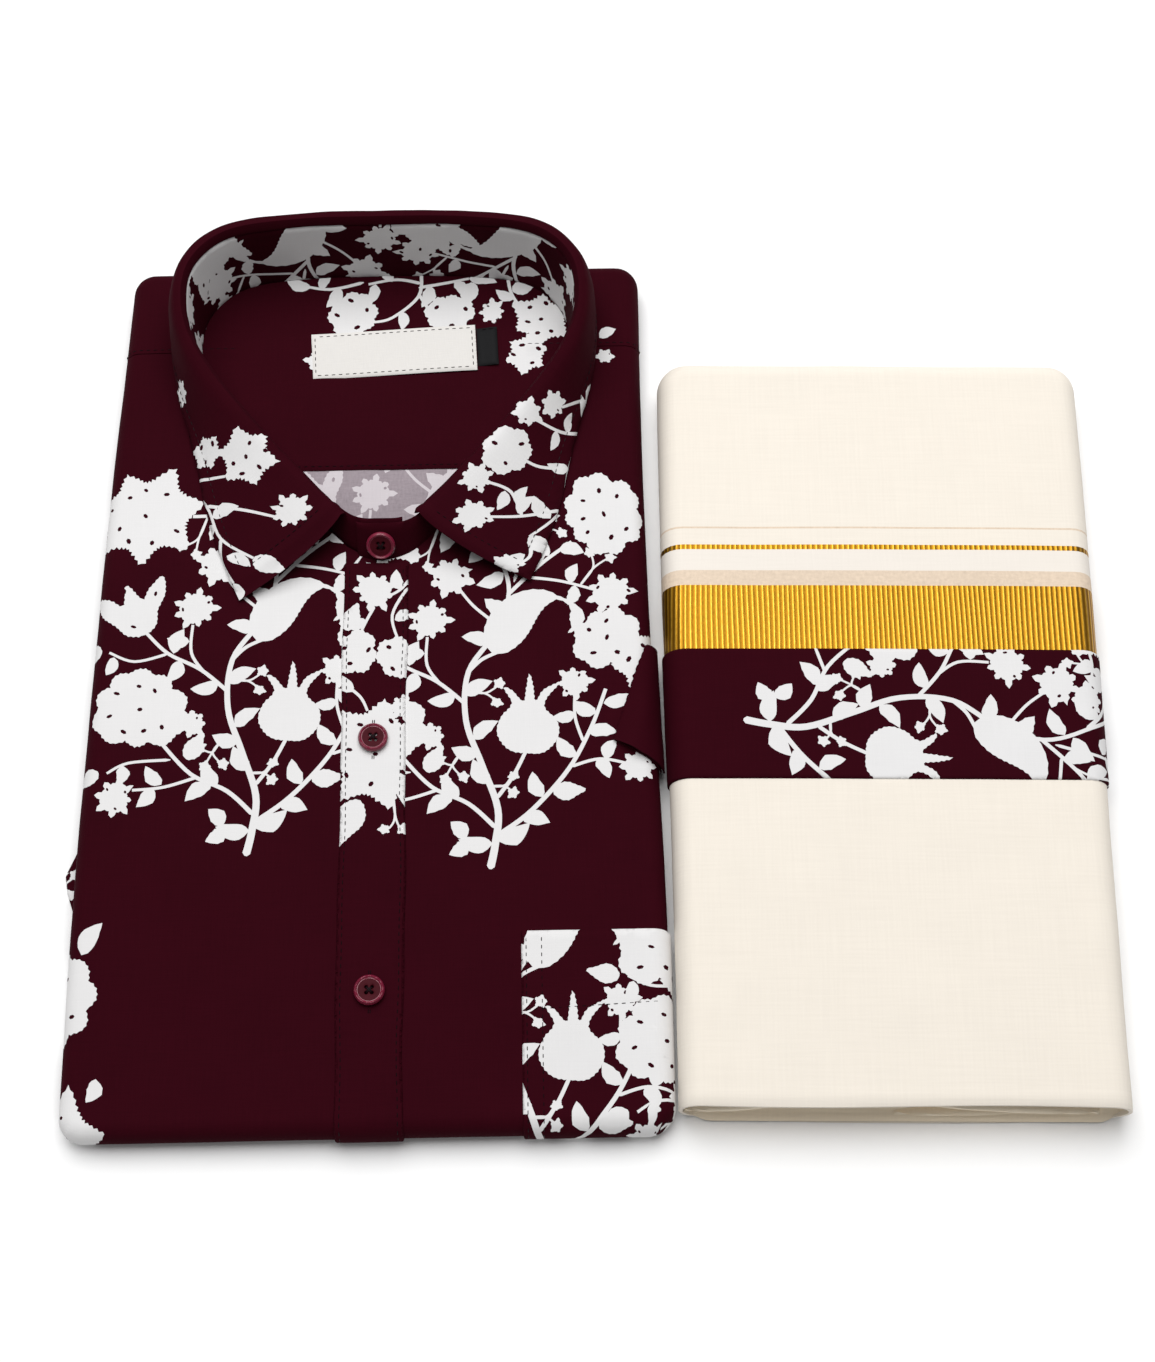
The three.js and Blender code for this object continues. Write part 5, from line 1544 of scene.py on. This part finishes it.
def build_mundu():
    """The mundu's outer layer, with its woven border, and the printed band sewn across it."""
    thick = sizes().cloth / MM
    back_v = mundu_pile.rim_v(1, 180)
    outline = mundu_outline(MUNDU_FRONT, back_v, 180)
    marks = sorted({edge for pair in MUNDU_BANDS.values() for edge in pair})
    along = graded(MUNDU_FRONT, back_v, 2.6, 5, 30)
    along = along[np.min([np.abs(along - m) for m in marks], axis=0) > 0.3]
    across = np.linspace(-130, 130, 101)
    names = ["fine_line", "gold_line", "white", "beige", "zari"]
    bands = []
    for tone, name in enumerate(names, start=1):
        high, low = MUNDU_BANDS[name]
        rows = [np.stack([across, 0 * across + row], 1) for row in (low, high)]
        bands.append((np.concatenate([rows[0], rows[1][::-1]]), tone))
    cut = cut_cloth(outline, bands, (), graded(-109, 109, 2.6, 32, 32), along)
    look = [material(name) for name in (
        "handloom_cotton", "figured_cotton_stripe", "zari_thread", "bleached_cotton_stripe",
        "figured_cotton_stripe", "zari_thread")]
    hem = 0.9 * rounded(2.5 - (cut[0][:, 1] - MUNDU_FRONT), 2.0) * (cut[0][:, 1] < MUNDU_FRONT + 2.5)
    piece = shell("mundu_outer_fold", cut, on_mundu(cut[0], 0), on_mundu(cut[0], -thick - hem), look,
                  "mundu_outer_layer", under_tone=0)

    outline = mundu_outline(STRIP_FRONT, STRIP_BACK, 138, 40)
    by_edge = np.array([0.2, 0.5, 1, 1.8])
    rows = [STRIP_FRONT + by_edge, np.arange(STRIP_FRONT + 3.5, STRIP_BACK - 3, 2.4), STRIP_BACK - by_edge]
    cut_strip = cut_cloth(outline, STRIP_PRINT, (), graded(-104, 104, 2.6, 26, 26), np.concatenate(rows))
    cloth = cut_strip[0]
    edge = rounded(np.minimum(cloth[:, 1] - STRIP_FRONT, STRIP_BACK - cloth[:, 1]), 0.9)
    top = 0.1 + 0.75 * edge
    strip = shell("printed_band", cut_strip, on_mundu(cloth, top), on_mundu(cloth, 0 * top + 0.05), poplin(),
                  "mundu_band")


def build_mundu_open_end():
    """The layers inside the mundu, the cloth beneath it, and the folds in its open end."""
    # The inner layers and folds take the warmer copy of the cream, a painted warm light
    cotton = [material("handloom_cotton_inside")]
    plies("mundu_layers", "mundu_folded_layers", mundu_pile, 1.7, 18.0, 5, MUNDU_FRONT + 9.5, 1.4, at_mundu,
          "handloom_cotton_inside")

    v = np.linspace(MUNDU_FRONT, MUNDU_BACK - 9, 60)
    inner = mundu_pile.rim + SEAM_GAP
    left = np.stack([mundu_pile.reach(v, np.ones(60)) - inner, v], 1)
    right = np.stack([-(mundu_pile.reach(v, -np.ones(60)) - inner), v], 1)
    x = np.linspace(right[0, 0], left[0, 0], 60)[1:-1]
    lip = np.stack([x, MUNDU_FRONT - 2.2 * (1 - np.abs(x / 74) ** 3).clip(0)], 1)
    outline = np.concatenate([left, right[::-1], lip])
    cut = cut_cloth(outline, step=5)
    edge = rounded(edge_distance(outline, cut[0]), 1.0)
    piece = shell("mundu_lower_lip", cut, at_mundu(level(cut[0], 0.5 + 0.7 * edge)),
                  at_mundu(level(cut[0], 0.02 + 0.3 * (1 - edge))), [material("handloom_cotton")],
                  "mundu_under_layer")

    def fold_sheet(name, node, rows, half, folds):
        ribbon = Ribbon(np.stack([evenly(row, 31) for row in rows]))
        fold_cut = cut_cloth(ribbon.outline(2.0), step=1.3)
        relief = swell(fold_cut[0], 0.1, 8, 1.7) + creased(fold_cut[0], folds)
        fold = shell(name, fold_cut, at_mundu(ribbon.place(fold_cut[0], relief + half)),
                     at_mundu(ribbon.place(fold_cut[0], relief - half)), cotton, node)

    def slope(x):
        """From under the outer layer's edge down to the lower lip, closing towards both sides."""
        share = np.clip((abs(x) - 72) / 8.5, 0, 0.97)
        round_in = 8.9 * math.sqrt(1 - share**2)
        y = MUNDU_FRONT + 2.5 * share + np.array([8.8, 8.4, 7.0, 4.6, 1.6, -1.7]) * (1 - 0.7 * share)
        down = np.array([0, 0.2, 0.45, 0.7, 0.88, 1.0])
        top, low = 9.3 + round_in - 0.3, max(1.4, 9.3 - round_in)
        return np.stack([x + 0 * y, y, top + (low - top) * down], 1)

    def bent(x, middle, hang, reach, radius):
        """Cloth that comes forward out of the pile, turns over and goes back into it."""
        turn = np.linspace(-np.pi / 2, np.pi / 2, 30)
        front = MUNDU_FRONT + middle
        y = np.concatenate([[front + 5], front - reach * np.cos(turn), [front + 5]])
        z = hang + radius * np.concatenate([[-1], np.sin(turn), [1]])
        return np.stack([x + 0 * y, y, z], 1)

    def tapered(share):
        """Full in the middle of a fold, and thin towards both its ends."""
        return np.sin(np.pi * np.clip(share, 0.03, 0.97)) ** 0.5

    def upper_fold(x):
        share = (x + 12) / 82
        thin = tapered(share)
        hang = 16.2 - 10 * share**1.2
        return bent(x, 4.0 - 2.6 * share**2, hang, 3.4 * thin, 1.7 * thin + 0.2)

    def lower_fold(x):
        share = (x + 4) / 70
        thin = tapered(share)
        return bent(x, 1.2 + 2.4 * share, 3.2 + 6 * share, 2.6 * thin, 1.3 * thin + 0.2)

    def corner_fold(x):
        share = (x + 80) / 44
        thin = tapered(share)
        return bent(x, 1.6 + 1.8 * share, 5.5 + 11 * share**0.8, 2.4 * thin, 2.0 * thin + 0.2)

    slope_folds = (
        (-78, 14, -42, 2, 2, 1.5, 1.4), (-80, 8, -66, 15, -1, 1.2, 1.0), (68, 2, 78, 12, -1, 1.5, 1.3),
    )
    fold_sheet("mundu_inner_slope", None, [slope(x) for x in np.linspace(-80, 80, 130)], 0.25, slope_folds)
    for name, node, fold_at, x in (
        ("mundu_fold_upper", "mundu_inner_fold_upper", upper_fold, np.linspace(-12, 70, 70)),
        ("mundu_fold_lower", "mundu_inner_fold_lower", lower_fold, np.linspace(-4, 66, 60)),
        ("mundu_fold_corner", None, corner_fold, np.linspace(-80, -36, 44)),
    ):
        fold_sheet(name, node, [fold_at(at) for at in x], 0.2, ())


# Camera, table and light
CAMERA_EYE = (-0.0122, -0.3525, 0.8109)
CAMERA_AIM = (-0.0053, -0.0084, 0.0)
CAMERA_LENS = 59.05
LIGHT_EYE = (-0.1, 0.78, 2.2)
LIGHT_SIZE, LIGHT_POWER = 2.3, 69
TABLE_HALF = 2.5


def aimed(obj, eye, aim):
    obj.location = eye
    way = Vector(aim) - Vector(eye)
    obj.rotation_euler = way.to_track_quat("-Z", "Y").to_euler()


def build_stage():
    """A pale table, soft studio light from behind and above, and the camera."""
    scene = bpy.context.scene
    camera = bpy.data.objects.new("camera", bpy.data.cameras.new("camera"))
    camera.data.lens = CAMERA_LENS
    camera.data.sensor_width = 36
    camera.data.sensor_fit = "AUTO"
    scene.collection.objects.link(camera)
    aimed(camera, CAMERA_EYE, CAMERA_AIM)
    scene.camera = camera

    mesh = bpy.data.meshes.new("table")
    corners = [(x * TABLE_HALF, y * TABLE_HALF, 0) for x, y in ((-1, -1), (1, -1), (1, 1), (-1, 1))]
    mesh.from_pydata(corners, [], [(0, 1, 2, 3)])
    table = bpy.data.objects.new("table", mesh)
    scene.collection.objects.link(table)
    board, tree = new_material("matt_painted_board")
    finish_material(tree, {"Base Color": linear("fafafa"), "Roughness": 0.9, "Specular IOR Level": 0.1})
    mesh.materials.append(board)

    light = bpy.data.objects.new("key_softbox", bpy.data.lights.new("key_softbox", "AREA"))
    light.data.shape = "SQUARE"
    light.data.size = LIGHT_SIZE
    light.data.energy = LIGHT_POWER
    scene.collection.objects.link(light)
    aimed(light, LIGHT_EYE, (0, 0, 0))

    world = bpy.data.worlds.new("studio")
    world.use_nodes = True
    background = world.node_tree.nodes["Background"]
    background.inputs["Color"].default_value = (1, 1, 1, 1)
    background.inputs["Strength"].default_value = 0.25
    scene.world = world
    scene.view_settings.view_transform = "Standard"
    scene.view_settings.look = "None"


def step_operator(step, label, build):
    """An operator that builds one group of pieces."""

    def execute(self, context):
        build()
        return {"FINISHED"}

    return type("FOLDEDSET_OT_" + step, (bpy.types.Operator,), {
        "bl_idname": "folded_set." + step,
        "bl_label": label,
        "__doc__": build.__doc__,
        "execute": execute,
    })


OPERATORS = [
    step_operator("folded_layers", "Folded Layers", build_folded_layers),
    step_operator("body", "Fronts and Yoke", build_body),
    step_operator("neck", "Inside the Neck", build_neck),
    step_operator("collar", "Collar", build_collar),
    step_operator("placket_and_pocket", "Button Band and Pocket", build_placket_and_pocket),
    step_operator("sleeves", "Sleeve Corners", build_sleeves),
    step_operator("buttons", "Buttons", build_buttons),
    step_operator("mundu_open_end", "Mundu Layers", build_mundu_open_end),
    step_operator("mundu", "Mundu Border", build_mundu),
    step_operator("stage", "Table, Light and Camera", build_stage),
]


class FOLDEDSET_PT_panel(bpy.types.Panel):
    """Lists the pieces of the folded set."""

    bl_idname = "FOLDEDSET_PT_panel"
    bl_label = "Folded Set"
    bl_space_type = "VIEW_3D"
    bl_region_type = "UI"
    bl_category = "Folded Set"

    def draw(self, context):
        for operator in OPERATORS:
            self.layout.operator(operator.bl_idname)
        for group in (context.scene.folded_set_sizes, context.scene.folded_set_colours):
            for name in group.bl_rna.properties.keys():
                if name not in ("rna_type", "name"):
                    self.layout.prop(group, name)


CLASSES = [FoldedSetColours, FoldedSetSizes, *OPERATORS, FOLDEDSET_PT_panel]


def register():
    for cls in CLASSES:
        bpy.utils.register_class(cls)
    bpy.types.Scene.folded_set_colours = bpy.props.PointerProperty(type=FoldedSetColours)
    bpy.types.Scene.folded_set_sizes = bpy.props.PointerProperty(type=FoldedSetSizes)


def unregister():
    del bpy.types.Scene.folded_set_colours
    del bpy.types.Scene.folded_set_sizes
    for cls in reversed(CLASSES):
        bpy.utils.unregister_class(cls)


def main():
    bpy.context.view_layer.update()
    register()
    for operator in OPERATORS:
        getattr(bpy.ops.folded_set, operator.bl_idname.split(".")[1])()


if __name__ == "__main__":
    main()
